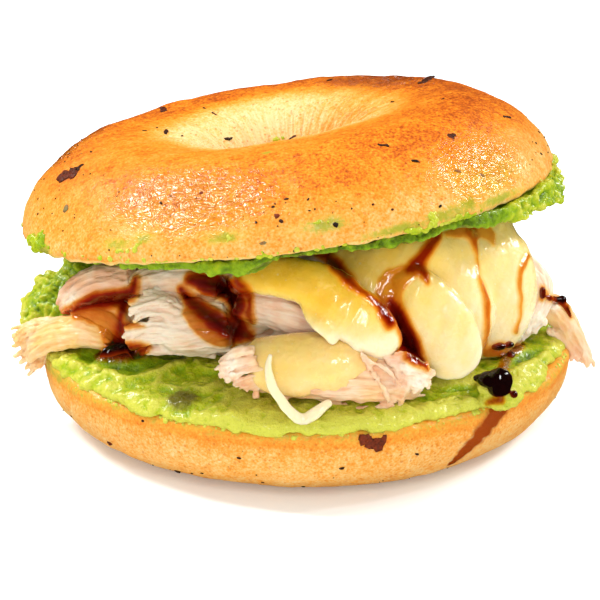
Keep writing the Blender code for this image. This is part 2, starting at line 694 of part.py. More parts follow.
def build():
    clear_scene()
    bottom = add_flakes(lower_half(), Matrix.Identity(4), base_side)
    lid = add_flakes(upper_half(), lid_matrix(), lid_side)
    keep_out = lid_keep_out()

    done = []
    for name in CHICKEN_PIECES:
        done.append(carve(pulled_chicken(name), [bottom, keep_out, *done]))
    for melt in (cheese_front_melt, cheese_left_slice, cheese_right_slice, cheese_back_fold):
        done.append(carve(melt(), [bottom, keep_out, *done]))
    done.append(carve(chicken_heap(), [bottom, keep_out, *done]))
    bpy.data.objects.remove(keep_out)
    carve(lower_spread(), [bottom, *done])
    carve(upper_spread(), [lid, *done])


build()
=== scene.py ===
"""The looks of a bagel sandwich: baked crust, mashed avocado, pulled chicken, melted cheese and dark sauce.

Shapes are made in millimetres round the bagel's own axis and turned into metres when they are put in place.
"""

import itertools
import math
import random

import bpy
import numpy as np
from mathutils import Matrix, Vector
from mathutils.bvhtree import BVHTree


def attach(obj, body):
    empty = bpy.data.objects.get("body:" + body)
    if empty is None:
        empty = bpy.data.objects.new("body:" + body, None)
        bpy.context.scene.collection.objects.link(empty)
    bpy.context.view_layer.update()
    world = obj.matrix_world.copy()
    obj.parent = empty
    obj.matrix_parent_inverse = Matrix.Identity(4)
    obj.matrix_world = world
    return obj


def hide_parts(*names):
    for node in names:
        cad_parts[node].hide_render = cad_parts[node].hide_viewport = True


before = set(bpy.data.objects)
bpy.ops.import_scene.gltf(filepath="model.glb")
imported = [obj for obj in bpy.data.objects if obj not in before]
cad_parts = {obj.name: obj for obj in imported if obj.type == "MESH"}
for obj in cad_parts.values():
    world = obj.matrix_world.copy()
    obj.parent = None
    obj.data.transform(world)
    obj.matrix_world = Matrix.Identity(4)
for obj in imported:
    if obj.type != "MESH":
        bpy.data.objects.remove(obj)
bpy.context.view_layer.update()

MM = 0.001
BAGEL_AXIS = np.array([1.2, -0.1, 0.0])
UP = np.array([0.0, 0.0, 1.0])
UP_VECTOR = Vector(UP)

# The bread, as the solids have it
BAGEL_RADIUS = 56.0
CUT_HEIGHT = 16.0
BASE_ROUNDING = 16.0
BASE_FULLNESS = 2.5
BASE_LEAN = 0.7
HOLE_RADIUS = 11.5
BASE_HOLE_RADIUS = 19.0
BASE_HOLE_FULLNESS = 2.2
CRUST_EDGE = 0.9
LID_RADIUS = 55.0
LID_HEIGHT = 16.1
LID_CREST_RADIUS = 35.4
LID_CENTRE = (-4.0, 0.1, 46.3)
LID_TILT_BACK = math.radians(-4.15)
LID_TILT_SIDE = math.radians(-6.88)
LID_FULLNESS = 1.67
LID_HOLE_FULLNESS = 2.5
BASE_OUTLINE_WAVES = ((2, 0.004, 0.4), (3, 0.004, 1.9), (5, 0.003, 0.7))
LID_OUTLINE_WAVES = ((1, 0.005, 3.14), (2, 0.004, 1.2), (3, 0.004, 0.3), (5, 0.003, 2.0))
LID_HEIGHT_WAVES = ((1, 0.045, -0.4), (2, 0.01, 1.0), (3, 0.01, 2.2))
SAG_DIRECTION, SAG_HALF_WIDTH, SAG_DEPTH = 205, 28, 1.6

# The camera, in metres
CAMERA_TARGET = Vector((-0.00021, -0.0001, 0.0213))
CAMERA_PITCH = math.radians(20.9)
CAMERA_DISTANCE = 0.36
CAMERA_LENS = 100.74
SENSOR = 36.0
PHOTO_SIDE = 600


# Noise


# What brings the noise to about -1 to 1, and turns it into crests
NOISE_GAIN = 1.6
CREST_GAIN = 2.6
# How far the octaves, and the three directions, read apart
OCTAVES_APART = 17.3
CRESTS_APART = 9.1
AXES_APART = 31.7


def gradient_noise(points, seed=0):
    """Smooth noise between about -1 and 1, with cells of size one."""
    draw = np.random.RandomState(seed)
    order = draw.permutation(256)
    slopes = draw.normal(size=(256, 3))
    slopes /= np.linalg.norm(slopes, axis=1)[:, None]
    cell = np.floor(points).astype(int)
    inside = points - cell
    fade = inside**3 * (inside * (inside * 6 - 15) + 10)
    total = np.zeros(len(points))
    for corner in itertools.product((0, 1), repeat=3):
        node = (cell + corner) & 255
        pick = order[(order[(order[node[:, 0]] + node[:, 1]) & 255] + node[:, 2]) & 255]
        weight = np.prod(np.where(corner, fade, 1 - fade), axis=1)
        total += weight * np.einsum("ij,ij->i", slopes[pick], inside - corner)
    return NOISE_GAIN * total


def rough(points, size, octaves=3, seed=0):
    """Noise whose largest bumps have the given size, with each octave half as large and as strong."""
    total = 0.0
    for k in range(octaves):
        total = total + 0.5**k * gradient_noise(points / size * 2.0**k + OCTAVES_APART * k, seed + k)
    return total


def layered(points, rows):
    """Noise of several sizes at once: rows of strength, size of the largest bumps and seed."""
    return sum(strength * rough(points, size, 2, seed) for strength, size, seed in rows)


def ridged(points, size, octaves=3, seed=0):
    """Noise with sharp crests, from about -1 to 1."""
    total = 0.0
    for k in range(octaves):
        noise = gradient_noise(points / size * 2.0**k + CRESTS_APART * k, seed + k)
        total = total + 0.5**k * (1 - CREST_GAIN * np.abs(noise))
    return total


def warped(points, size, amount, seed=0):
    """The points moved about by noise, so that a pattern read at them curls."""
    moves = [gradient_noise(points / size + AXES_APART * axis, seed + axis) for axis in range(3)]
    return points + amount * np.stack(moves, axis=1)


def ease(value, low, high):
    """0 below low, 1 above high and smooth between them; low may be the larger one."""
    share = np.clip((np.asarray(value, float) - low) / (high - low), 0.0, 1.0)
    return share * share * (3 - 2 * share)


def lobe_at(angle, centre_degrees, half_width_degrees):
    """A smooth bump in angle, from 0 to 1, centred on one direction."""
    away = angle - np.radians(centre_degrees)
    away = np.degrees(np.arctan2(np.sin(away), np.cos(away)))
    return np.exp(-((away / half_width_degrees) ** 2))


# Meshes


MOST_TRIANGLES = 190000
SMOOTHING_FACTOR = 0.5
# How far a tube's tip stands out, as a share of its last radius
TIP_LENGTH = 0.6


def new_piece(name, points, faces):
    mesh = bpy.data.meshes.new(name)
    mesh.from_pydata(np.asarray(points, float).tolist(), [], faces)
    mesh.update()
    thing = bpy.data.objects.new(name, mesh)
    bpy.context.scene.collection.objects.link(thing)
    return thing


def vectors_in(values, key):
    flat = np.empty(3 * len(values))
    values.foreach_get(key, flat)
    return flat.reshape(-1, 3)


def points_of(thing):
    return vectors_in(thing.data.vertices, "co")


def set_points(thing, points):
    thing.data.vertices.foreach_set("co", np.asarray(points, float).ravel())
    thing.data.update()


def normals_of(thing):
    return vectors_in(thing.data.vertex_normals, "vector")


def faces_of(mesh):
    return [tuple(face.vertices) for face in mesh.polygons]


def push(thing, distance):
    """Moves each point along its normal."""
    set_points(thing, points_of(thing) + normals_of(thing) * np.asarray(distance)[:, None])


def paint(thing, **layers):
    """Keeps numbers, or places, at each point for the materials to read."""
    for name, values in layers.items():
        values = np.asarray(values, float)
        if values.ndim == 0:
            values = np.full(len(thing.data.vertices), values)
        kind, key = ("FLOAT", "value") if values.ndim == 1 else ("FLOAT_VECTOR", "vector")
        thing.data.attributes.new(name, kind, "POINT").data.foreach_set(key, values.ravel())


def apply_modifier(thing, kind, **settings):
    modifier = thing.modifiers.new("made", kind)
    for key, value in settings.items():
        setattr(modifier, key, value)
    graph = bpy.context.evaluated_depsgraph_get()
    made = bpy.data.meshes.new_from_object(thing.evaluated_get(graph))
    thing.modifiers.clear()
    old, thing.data = thing.data, made
    bpy.data.meshes.remove(old)


def smooth(thing, times):
    apply_modifier(thing, "SMOOTH", factor=SMOOTHING_FACTOR, iterations=times)


def reskin(thing, voxel, smoothing):
    """One closed skin round everything in the piece, made even and then smoothed."""
    apply_modifier(thing, "REMESH", mode="VOXEL", voxel_size=voxel)
    if smoothing:
        smooth(thing, smoothing)


def slim(thing):
    """Takes away the triangles that a large piece can do without."""
    triangles = sum(len(face.vertices) - 2 for face in thing.data.polygons)
    if triangles > MOST_TRIANGLES:
        apply_modifier(thing, "DECIMATE", ratio=MOST_TRIANGLES / triangles)


def smoothed_points(thing, times):
    """Where each point lies once the piece is smoothed that many times."""
    twin = bpy.data.objects.new("twin", thing.data.copy())
    bpy.context.scene.collection.objects.link(twin)
    smooth(twin, times)
    points = points_of(twin)
    bpy.data.objects.remove(twin)
    return points


def hollowness(thing, times):
    """How far each point lies below its smoothed surroundings: above 0 in grooves, below 0 on ridges."""
    return np.einsum("ij,ij->i", smoothed_points(thing, times) - points_of(thing), normals_of(thing))


def node_copy(node, name):
    """A CAD solid's shape as a new piece, in millimetres round the bagel's axis."""
    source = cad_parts[node].data
    return new_piece(name, vectors_in(source.vertices, "co") / MM - BAGEL_AXIS, faces_of(source))


def settle(thing, nodes, material):
    """Puts a finished piece in the frame, in metres, in place of the CAD nodes that it stands for."""
    set_points(thing, (points_of(thing) + BAGEL_AXIS) * MM)
    thing.data.materials.clear()
    thing.data.materials.append(material)
    thing.data.shade_smooth()
    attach(thing, "root")
    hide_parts(*nodes)


def smooth_path(points, count):
    """A Catmull-Rom curve through the points, read at count places."""
    knots = np.asarray(points, float)
    padded = np.vstack([2 * knots[0] - knots[1], knots, 2 * knots[-1] - knots[-2]])
    places = np.linspace(0, len(knots) - 1, count)
    k = np.minimum(places.astype(int), len(knots) - 2)
    t = (places - k)[:, None]
    a, b, c, d = (padded[k + step] for step in range(4))
    return 0.5 * (2 * b + (c - a) * t + (2 * a - 5 * b + 4 * c - d) * t**2 + (3 * b - a - 3 * c + d) * t**3)


def read_along(values, count):
    return np.interp(np.linspace(0, len(values) - 1, count), range(len(values)), values)


def soften(curve, times):
    """Evens out a curve between its ends."""
    for _ in range(times):
        curve[1:-1] = 0.25 * curve[:-2] + 0.5 * curve[1:-1] + 0.25 * curve[2:]


def length_of(curve):
    return np.linalg.norm(np.diff(curve, axis=0), axis=1).sum()


def frames_along(curve, facing):
    """Tangent, side and outward directions along a curve; facing is the way its flat side looks."""
    facing = np.asarray(facing, float)
    tangents = np.gradient(curve, axis=0)
    tangents /= np.linalg.norm(tangents, axis=1)[:, None]
    outward = facing - tangents * (tangents @ facing)[:, None]
    outward /= np.linalg.norm(outward, axis=1)[:, None]
    return tangents, np.cross(tangents, outward), outward


def tube(curve, across, deep, facing, sides=6, squareness=1.0):
    """A closed tube of oval section with pointed ends; a squareness below 1 makes the section squarer."""
    tangents, side, outward = frames_along(curve, facing)
    angles = 2 * math.pi * np.arange(sides) / sides
    wide, high = (np.sign(wave) * np.abs(wave) ** squareness for wave in (np.cos(angles), np.sin(angles)))
    rings = (
        curve[:, None]
        + side[:, None] * (wide[None, :, None] * across[:, None, None])
        + outward[:, None] * (high[None, :, None] * deep[:, None, None])
    )
    start = curve[0] - tangents[0] * min(across[0], deep[0]) * TIP_LENGTH
    end = curve[-1] + tangents[-1] * min(across[-1], deep[-1]) * TIP_LENGTH
    last = (len(curve) - 1) * sides
    first_tip = last + sides
    faces = []
    for low in range(0, last, sides):
        for k in range(sides):
            after = (k + 1) % sides
            faces.append((low + k, low + after, low + sides + after, low + sides + k))
    for k in range(sides):
        after = (k + 1) % sides
        faces.append((first_tip, after, k))
        faces.append((first_tip + 1, last + k, last + after))
    return np.vstack([rings.reshape(-1, 3), start, end]), faces


def round_body(centre, axis, radii, facing, closing, rings, sides):
    """An oval body; radii are across, deep and along its axis, and its ends close at the angle closing."""
    polar = np.linspace(closing, math.pi - closing, rings)
    curve = np.array(centre) + (radii[2] * np.cos(polar))[:, None] * np.array(axis)
    return tube(curve, radii[0] * np.sin(polar), radii[1] * np.sin(polar), facing, sides)


def joined(name, shapes):
    """One piece from several (points, faces)."""
    faces, total = [], 0
    for points, own_faces in shapes:
        faces += [tuple(corner + total for corner in face) for face in own_faces]
        total += len(points)
    return new_piece(name, np.vstack([points for points, _ in shapes]), faces)


def shape_of(thing):
    """A piece's points and faces; the piece itself is removed."""
    shape = points_of(thing), faces_of(thing.data)
    bpy.data.objects.remove(thing)
    return shape


# Materials


# The Mix node's sockets: two colours in and one out, and two numbers in and one out
MIX_COLOURS, MIX_COLOUR_OUT = (6, 7), 2
MIX_NUMBERS, MIX_NUMBER_OUT = (2, 3), 0
SPECK_SOFTNESS = 0.05


class Finish:
    """A material's nodes, with short calls for the ones that food needs."""

    def __init__(self, name, **sockets):
        self.material = bpy.data.materials.new(name)
        self.material.use_nodes = True
        self.tree = self.material.node_tree
        self.shader = self.tree.nodes["Principled BSDF"]
        for socket, value in sockets.items():
            self.shader.inputs[socket.replace("_", " ")].default_value = value
        self.place = self.add("TexCoord").outputs["Object"]

    def add(self, kind, inputs=(), **settings):
        node = self.tree.nodes.new("ShaderNode" + kind)
        for key, value in settings.items():
            setattr(node, key, value)
        for socket, value in dict(inputs).items():
            if isinstance(value, bpy.types.NodeSocket):
                self.tree.links.new(value, node.inputs[socket])
            else:
                node.inputs[socket].default_value = value
        return node

    def read(self, name, output="Fac"):
        return self.add("Attribute", attribute_name=name).outputs[output]

    def math(self, operation, first, second=0.0, third=0.0):
        inputs = {0: first, 1: second, 2: third}
        return self.add("Math", inputs, operation=operation).outputs[0]

    def noise(self, size_mm, detail=3.0, place=None, distortion=0.0, roughness=0.55):
        """Noise from 0 to 1 with bumps of that size; a place that is given is in millimetres."""
        inputs = {
            "Vector": place or self.place,
            "Scale": 1 / size_mm if place else 1 / (size_mm * MM),
            "Detail": detail,
            "Distortion": distortion,
            "Roughness": roughness,
        }
        return self.add("TexNoise", inputs).outputs["Fac"]

    def varied(self, value, size_mm, amount, **settings):
        """The value moved up and down by noise, by at most about half the amount."""
        noise = self.noise(size_mm, **settings)
        return self.math("MULTIPLY_ADD", noise, amount, self.math("ADD", value, -0.5 * amount))

    def mottled(self, value, rows, place=None):
        """The value varied by noise of several sizes: rows of size in millimetres, amount and detail."""
        for size_mm, amount, detail in rows:
            value = self.varied(value, size_mm, amount, detail=detail, place=place)
        return value

    def stretched(self, place, along):
        return self.add("VectorMath", {0: place, 1: along}, operation="MULTIPLY").outputs[0]

    def specks(self, spacing_mm, widest, rarity):
        """Round specks scattered on the surface, 1 inside; widest is a share of the spacing."""
        cells = self.add("TexVoronoi", {"Vector": self.place, "Scale": 1 / (spacing_mm * MM)})
        shade = self.add("SeparateColor", {"Color": cells.outputs["Color"]})
        radius = self.span(shade.outputs[0], rarity, 1.0, 0.0, widest)
        return self.span(self.math("SUBTRACT", radius, cells.outputs["Distance"]), 0.0, SPECK_SOFTNESS)

    def speckled(self, colour, spacing_mm, widest, rarity, strength, tint):
        """The colour with specks of the tint on it, and the specks themselves."""
        specks = self.specks(spacing_mm, widest, rarity)
        return self.mix(self.math("MULTIPLY", specks, strength), colour, tint), specks

    def ramp(self, value, stops):
        node = self.add("ValToRGB", {"Fac": value})
        elements = node.color_ramp.elements
        while len(elements) < len(stops):
            elements.new(0.5)
        for element, (place, colour) in zip(elements, stops):
            element.position = place
            element.color = (*colour, 1.0)
        return node.outputs["Color"]

    def span(self, value, low, high, to_low=0.0, to_high=1.0):
        inputs = {"Value": value, "From Min": low, "From Max": high, "To Min": to_low, "To Max": to_high}
        return self.add("MapRange", inputs, interpolation_type="SMOOTHSTEP").outputs["Result"]

    def linear(self, value, low, high):
        return self.add("MapRange", {"Value": value, "From Min": low, "From Max": high}).outputs["Result"]

    def mix(self, share, first, second, blend="MIX"):
        inputs = {0: share}
        for index, colour in zip(MIX_COLOURS, (first, second)):
            inputs[index] = (*colour, 1.0) if isinstance(colour, tuple) else colour
        return self.add("Mix", inputs, data_type="RGBA", blend_type=blend).outputs[MIX_COLOUR_OUT]

    def toward(self, value, share, goal):
        """The value where the share is 0 and the goal where it is 1."""
        inputs = {0: share, **dict(zip(MIX_NUMBERS, (value, goal)))}
        return self.add("Mix", inputs, data_type="FLOAT").outputs[MIX_NUMBER_OUT]

    def bump(self, height, depth_mm, under=None):
        inputs = {"Height": height, "Distance": depth_mm * MM, "Strength": 1.0}
        if under:
            inputs["Normal"] = under
        return self.add("Bump", inputs).outputs["Normal"]

    def plug(self, **links):
        for socket, value in links.items():
            self.tree.links.new(value, self.shader.inputs[socket.replace("_", " ")])
        return self.material


SAUCE_COLOURS = (
    (0.00, (0.30, 0.045, 0.003)),
    (0.20, (0.24, 0.020, 0.001)),
    (0.45, (0.11, 0.006, 0.001)),
    (0.75, (0.022, 0.001, 0.001)),
    (1.00, (0.005, 0.001, 0.001)),
)
# What is left of the light that passes the sauce, from just outside its edge to its deepest part
TINT_FROM_MM, TINT_TO_MM = -0.5, 3.0
SAUCE_TINT = (
    (0.00, (1.00, 1.00, 1.00)),
    (0.16, (0.97, 0.76, 0.42)),
    (0.22, (0.84, 0.44, 0.10)),
    (0.32, (0.60, 0.17, 0.014)),
    (0.44, (0.36, 0.028, 0.001)),
    (0.60, (0.18, 0.005, 0.001)),
    (1.00, (0.04, 0.001, 0.001)),
)
# How much the sauce's edge wavers, over how many millimetres, and where its gloss begins
POUR_WAVER, POUR_WAVER_MM = 0.4, 2.4
SAUCE_EDGE_MM = (-0.05, 0.12)
SAUCE_ROUGHNESS = 0.07
SAUCE_COAT = 0.9


def sauced(finish, colour, roughness, coat, normal):
    """The finished material, with the sauce that ran over it: amber at its edge, dark inside."""
    pour = finish.varied(finish.read("pour"), POUR_WAVER_MM, POUR_WAVER)
    tint = finish.ramp(finish.linear(pour, TINT_FROM_MM, TINT_TO_MM), SAUCE_TINT)
    inside = finish.span(pour, *SAUCE_EDGE_MM)
    return finish.plug(
        Base_Color=finish.mix(1.0, colour, tint, "MULTIPLY"),
        Roughness=finish.toward(roughness, inside, SAUCE_ROUGHNESS),
        Coat_Weight=finish.toward(coat, inside, SAUCE_COAT),
        Normal=normal,
    )


CRUST_COLOURS = (
    (0.00, (0.76, 0.54, 0.24)),
    (0.20, (0.79, 0.42, 0.11)),
    (0.40, (0.77, 0.295, 0.030)),
    (0.58, (0.73, 0.215, 0.006)),
    (0.76, (0.50, 0.095, 0.004)),
    (1.00, (0.17, 0.028, 0.003)),
)
# Noise in the baked colour: size in millimetres, amount and detail
CRUST_MOTTLE = ((6.0, 0.26, 3.0), (1.4, 0.50, 4.0), (0.5, 0.85, 2.0))
# Specks on the crust: spacing in millimetres, widest as a share of it, rarity, strength and colour
CRUST_GRAINS = (0.95, 0.34, 0.15, 0.55, (0.60, 0.14, 0.006))
CRUST_PORES = (1.7, 0.13, 0.45, 0.55, (0.34, 0.09, 0.010))
BURNT_SPECKS = (5.2, 0.045, 0.35, 0.9, (0.055, 0.020, 0.008))
OIL_TINT = (0.99, 0.80, 0.30)
WRINKLE_TINT = (1.0, 0.93, 0.25)
SMEAR_YELLOW = (0.62, 0.43, 0.05)
SMEAR_GREEN = (0.27, 0.32, 0.012)
GLAZE_COLOUR = (0.33, 0.050, 0.002)
WET_ROUGHNESS = 0.22
# Fine folds in the wrinkled skin: stretch round and along the ring, their size and depth in millimetres
FOLD_STRETCH = (0.6, 0.6, 1.25)
FOLD_SIZE_MM, FOLD_DEPTH_MM = 1.5, 0.70


def crust_material(name, roughness):
    finish = Finish(name, IOR=1.45, Specular_IOR_Level=0.30, Coat_Roughness=0.10, Coat_IOR=1.8,
                    Subsurface_Weight=0.05, Subsurface_Scale=0.001, Subsurface_Radius=(1.0, 0.5, 0.25))
    round_ring, wrinkle = finish.read("round_ring", "Vector"), finish.read("wrinkle")
    colour = finish.ramp(finish.mottled(finish.read("bake"), CRUST_MOTTLE), CRUST_COLOURS)
    colour, _ = finish.speckled(colour, *CRUST_GRAINS)
    colour, pores = finish.speckled(colour, *CRUST_PORES)
    colour, _ = finish.speckled(colour, *BURNT_SPECKS)
    oil = finish.span(finish.varied(finish.read("oil"), 1.3, 0.6), 0.15, 0.85)
    colour = finish.mix(oil, colour, OIL_TINT, "MULTIPLY")
    smear = finish.varied(finish.read("smear"), 1.6, 1.7, detail=5.0, distortion=0.8, roughness=0.7)
    yellow = finish.span(smear, 0.20, 0.90, 0.0, 0.65)
    green = finish.span(smear, 0.50, 1.15, 0.0, 0.75)
    glaze = finish.span(finish.varied(finish.read("glaze"), 1.6, 0.5), 0.18, 0.60)
    for share, tint in ((yellow, SMEAR_YELLOW), (green, SMEAR_GREEN), (glaze, GLAZE_COLOUR)):
        colour = finish.mix(share, colour, tint)
    oily = finish.span(finish.varied(wrinkle, 4.0, 0.5, detail=4.0), 0.25, 0.7)
    colour = finish.mix(oily, colour, WRINKLE_TINT, "MULTIPLY")
    wet = finish.math("MAXIMUM", finish.math("MULTIPLY", yellow, 0.6), glaze)
    gloss = finish.toward(finish.varied(roughness, 0.6, 0.16), wet, WET_ROUGHNESS)
    coat = finish.math("MAXIMUM", oily, finish.math("MULTIPLY", wet, 0.4))

    stretched = finish.stretched(round_ring, FOLD_STRETCH)
    folds = finish.noise(FOLD_SIZE_MM, 2.0, stretched, distortion=1.2, roughness=0.6)
    folds = finish.math("ABSOLUTE", finish.math("MULTIPLY_ADD", folds, 2.0, -1.0))
    folds = finish.math("MULTIPLY", finish.math("MINIMUM", folds, 0.35), wrinkle)
    skin = finish.bump(finish.noise(0.45, 2.0), 0.07)
    normal = finish.bump(folds, FOLD_DEPTH_MM, finish.bump(pores, -0.05, skin))
    return finish.plug(
        Base_Color=colour, Roughness=gloss, Normal=normal, Coat_Weight=coat, Coat_Normal=normal,
    )


MASH_MOTTLE = ((2.6, 0.50, 4.0), (0.7, 0.45, 3.0))
MASH_COLOURS = (
    (0.00, (0.60, 0.58, 0.060)),
    (0.26, (0.42, 0.48, 0.006)),
    (0.50, (0.27, 0.395, 0.005)),
    (0.76, (0.155, 0.265, 0.002)),
    (1.00, (0.075, 0.13, 0.001)),
)
BRUISE_COLOUR = (0.110, 0.088, 0.0005)


def avocado_material():
    finish = Finish("mashed_avocado", IOR=1.42, Specular_IOR_Level=0.40, Subsurface_Weight=0.10,
                    Subsurface_Scale=0.0012, Subsurface_Radius=(0.9, 1.0, 0.25), Coat_Roughness=0.10)
    # The tones hold the mash's own greens and the painted shade in its hollows and valleys
    colour = finish.ramp(finish.mottled(finish.read("lush"), MASH_MOTTLE), MASH_COLOURS)
    bruise = finish.span(finish.varied(finish.read("bruise"), 1.5, 0.6), 0.1, 0.6, 0.0, 0.92)
    colour = finish.mix(bruise, colour, BRUISE_COLOUR)
    normal = finish.bump(finish.noise(0.60, 3.0, distortion=0.6), 0.42)
    return sauced(finish, colour, finish.varied(0.32, 1.2, 0.3), 0.3, normal)


CHICKEN_TONE = 0.66
FIBRE_MOTTLE = ((1.0, 0.5, 3.0), (0.35, 0.30, 2.0))
LEAN_COLOURS = (
    (0.00, (0.28, 0.08, 0.03)),
    (0.25, (0.58, 0.26, 0.13)),
    (0.52, (0.80, 0.51, 0.33)),
    (0.85, (0.86, 0.70, 0.53)),
)
GOLDEN_COLOURS = (
    (0.00, (0.38, 0.11, 0.01)),
    (0.25, (0.72, 0.30, 0.06)),
    (0.52, (0.83, 0.42, 0.11)),
    (0.85, (0.85, 0.56, 0.24)),
)
ROSY_COLOUR = (0.78, 0.34, 0.18)
WHITE_MEAT = (0.88, 0.76, 0.61)


def chicken_material():
    finish = Finish("pulled_chicken", IOR=1.42, Specular_IOR_Level=0.35, Subsurface_Weight=0.25,
                    Subsurface_Scale=0.0015, Subsurface_Radius=(1.0, 0.5, 0.3), Coat_Roughness=0.16)
    along = finish.read("fibre_place", "Vector")
    tone = finish.mottled(CHICKEN_TONE, FIBRE_MOTTLE, place=along)
    # Painted shade darkens the tone in the grooves, and painted light lightens it on the ridges
    tone = finish.math("SUBTRACT", finish.varied(tone, 4.5, 0.35), finish.read("hollow"))
    lean, golden = finish.ramp(tone, LEAN_COLOURS), finish.ramp(tone, GOLDEN_COLOURS)
    colour = finish.mix(finish.read("golden"), lean, golden)
    rosy = finish.span(finish.varied(finish.read("rosy"), 3.5, 0.7), 0.3, 0.9, 0.0, 0.65)
    colour = finish.mix(rosy, colour, ROSY_COLOUR)
    white = finish.math("MULTIPLY", finish.read("white"), finish.span(tone, 0.2, 0.75))
    colour = finish.mix(white, colour, WHITE_MEAT)
    normal = finish.bump(finish.noise(0.30, 3.0, along), 0.12)
    return sauced(finish, colour, finish.varied(0.36, 1.0, 0.3, place=along), 0.25, normal)


CHEESE_MOTTLE = ((5.0, 0.3, 3.0), (1.5, 0.10, 3.0))
CHEESE_COLOURS = (
    (0.00, (0.94, 0.49, 0.012)),
    (0.25, (0.95, 0.545, 0.055)),
    (0.50, (0.90, 0.61, 0.14)),
    (0.75, (0.88, 0.65, 0.27)),
    (1.00, (0.89, 0.73, 0.46)),
)
# Where meat shows through the cheese, and the paler specks in it
MEATY_COLOUR = (0.97, 0.57, 0.20)
MELT_SPECKS = (1.4, 0.22, 0.55, 0.2, (0.92, 0.84, 0.62))


def cheese_material():
    finish = Finish("melted_cheese", IOR=1.45, Specular_IOR_Level=0.40, Subsurface_Weight=0.45,
                    Subsurface_Scale=0.0022, Subsurface_Radius=(1.0, 0.75, 0.3), Coat_Roughness=0.10)
    colour = finish.ramp(finish.mottled(finish.read("pale"), CHEESE_MOTTLE), CHEESE_COLOURS)
    meaty = finish.span(finish.varied(finish.read("meaty"), 2.0, 0.6, detail=4.0), 0.1, 0.9)
    colour = finish.mix(meaty, colour, MEATY_COLOUR)
    colour, melt = finish.speckled(colour, *MELT_SPECKS)
    normal = finish.bump(finish.noise(1.4, 3.0, distortion=0.5), 0.20, finish.bump(melt, 0.05))
    return sauced(finish, colour, finish.varied(0.26, 2.2, 0.22), 0.6, normal)


def sauce_material():
    finish = Finish("dark_sauce", IOR=1.48, Specular_IOR_Level=0.5, Subsurface_Weight=0.08,
                    Subsurface_Scale=0.0006, Subsurface_Radius=(1.0, 0.3, 0.05))
    colour = finish.ramp(finish.varied(finish.read("thick"), 1.5, 0.2), SAUCE_COLOURS)
    normal = finish.bump(finish.noise(1.3, 2.0), 0.03)
    return finish.plug(Base_Color=colour, Roughness=finish.varied(0.08, 2.0, 0.08), Normal=normal)


# From burnt black by way of red-brown to herb green
FLECK_COLOURS = (
    (0.00, (0.018, 0.010, 0.006)),
    (0.25, (0.050, 0.016, 0.008)),
    (0.50, (0.22, 0.032, 0.008)),
    (0.70, (0.32, 0.065, 0.012)),
    (1.00, (0.19, 0.18, 0.070)),
)


def fleck_material():
    finish = Finish("charred_flecks", IOR=1.45, Specular_IOR_Level=0.15)
    colour = finish.ramp(finish.varied(finish.read("kind"), 0.8, 0.5), FLECK_COLOURS)
    normal = finish.bump(finish.noise(0.4, 3.0), 0.16)
    return finish.plug(Base_Color=colour, Roughness=finish.varied(0.45, 0.7, 0.4), Normal=normal)


FLOOR_COLOURS = ((0.0, (0.87, 0.96, 1.00)), (1.0, (0.89, 0.97, 1.00)))


def floor_material():
    # The floor glows faintly: painted light that lightens the shadow under the bagel
    finish = Finish("pale_glowing_floor", Roughness=0.6, Emission_Strength=0.12)
    return finish.plug(Base_Color=finish.ramp(finish.noise(60.0), FLOOR_COLOURS))


# The bread


def quarter_curve(start, end, fullness, count):
    """Points (r, z, share) from start to end on a superellipse quarter."""
    angles = np.linspace(0.0, math.pi / 2, count)
    along = np.sin(angles) ** (2 / fullness)
    across = 1 - np.abs(np.cos(angles)) ** (2 / fullness)
    r = start[0] + (end[0] - start[0]) * across
    z = start[1] + (end[1] - start[1]) * along
    return np.stack([r, z, np.linspace(0, 1, count)], axis=1)


def even_loop(loop, count):
    """The closed outline read at evenly spaced places."""
    closed = np.vstack([loop, loop[:1]])
    reach = np.concatenate([[0], np.cumsum(np.linalg.norm(np.diff(closed[:, :2], axis=0), axis=1))])
    places = np.linspace(0, reach[-1], count, endpoint=False)
    columns = [np.interp(places, reach, column) for column in closed.T]
    return np.stack(columns, axis=1), places


def uneven(angle, waves):
    return sum(size * np.cos(count * angle + phase) for count, size, phase in waves)


def ring_faces(steps, across):
    step, k = np.meshgrid(np.arange(steps), np.arange(across), indexing="ij")
    after, beside = (step + 1) % steps, (k + 1) % across
    corners = [step * across + k, after * across + k, after * across + beside, step * across + beside]
    return np.stack([corner.ravel() for corner in corners], axis=1).tolist()


def lid_matrix():
    return (
        Matrix.Translation(Vector(LID_CENTRE))
        @ Matrix.Rotation(LID_TILT_SIDE, 4, "Y")
        @ Matrix.Rotation(LID_TILT_BACK, 4, "X")
    )


def moved(points, matrix):
    turn = np.array(matrix)
    return points @ turn[:3, :3].T + turn[:3, 3]


# How many places there are round each half, across it, and on each curve that its outline is made of
BREAD_STEPS, BREAD_ACROSS = 520, 190
CURVE_STEPS, BASE_HOLE_STEPS = 90, 60


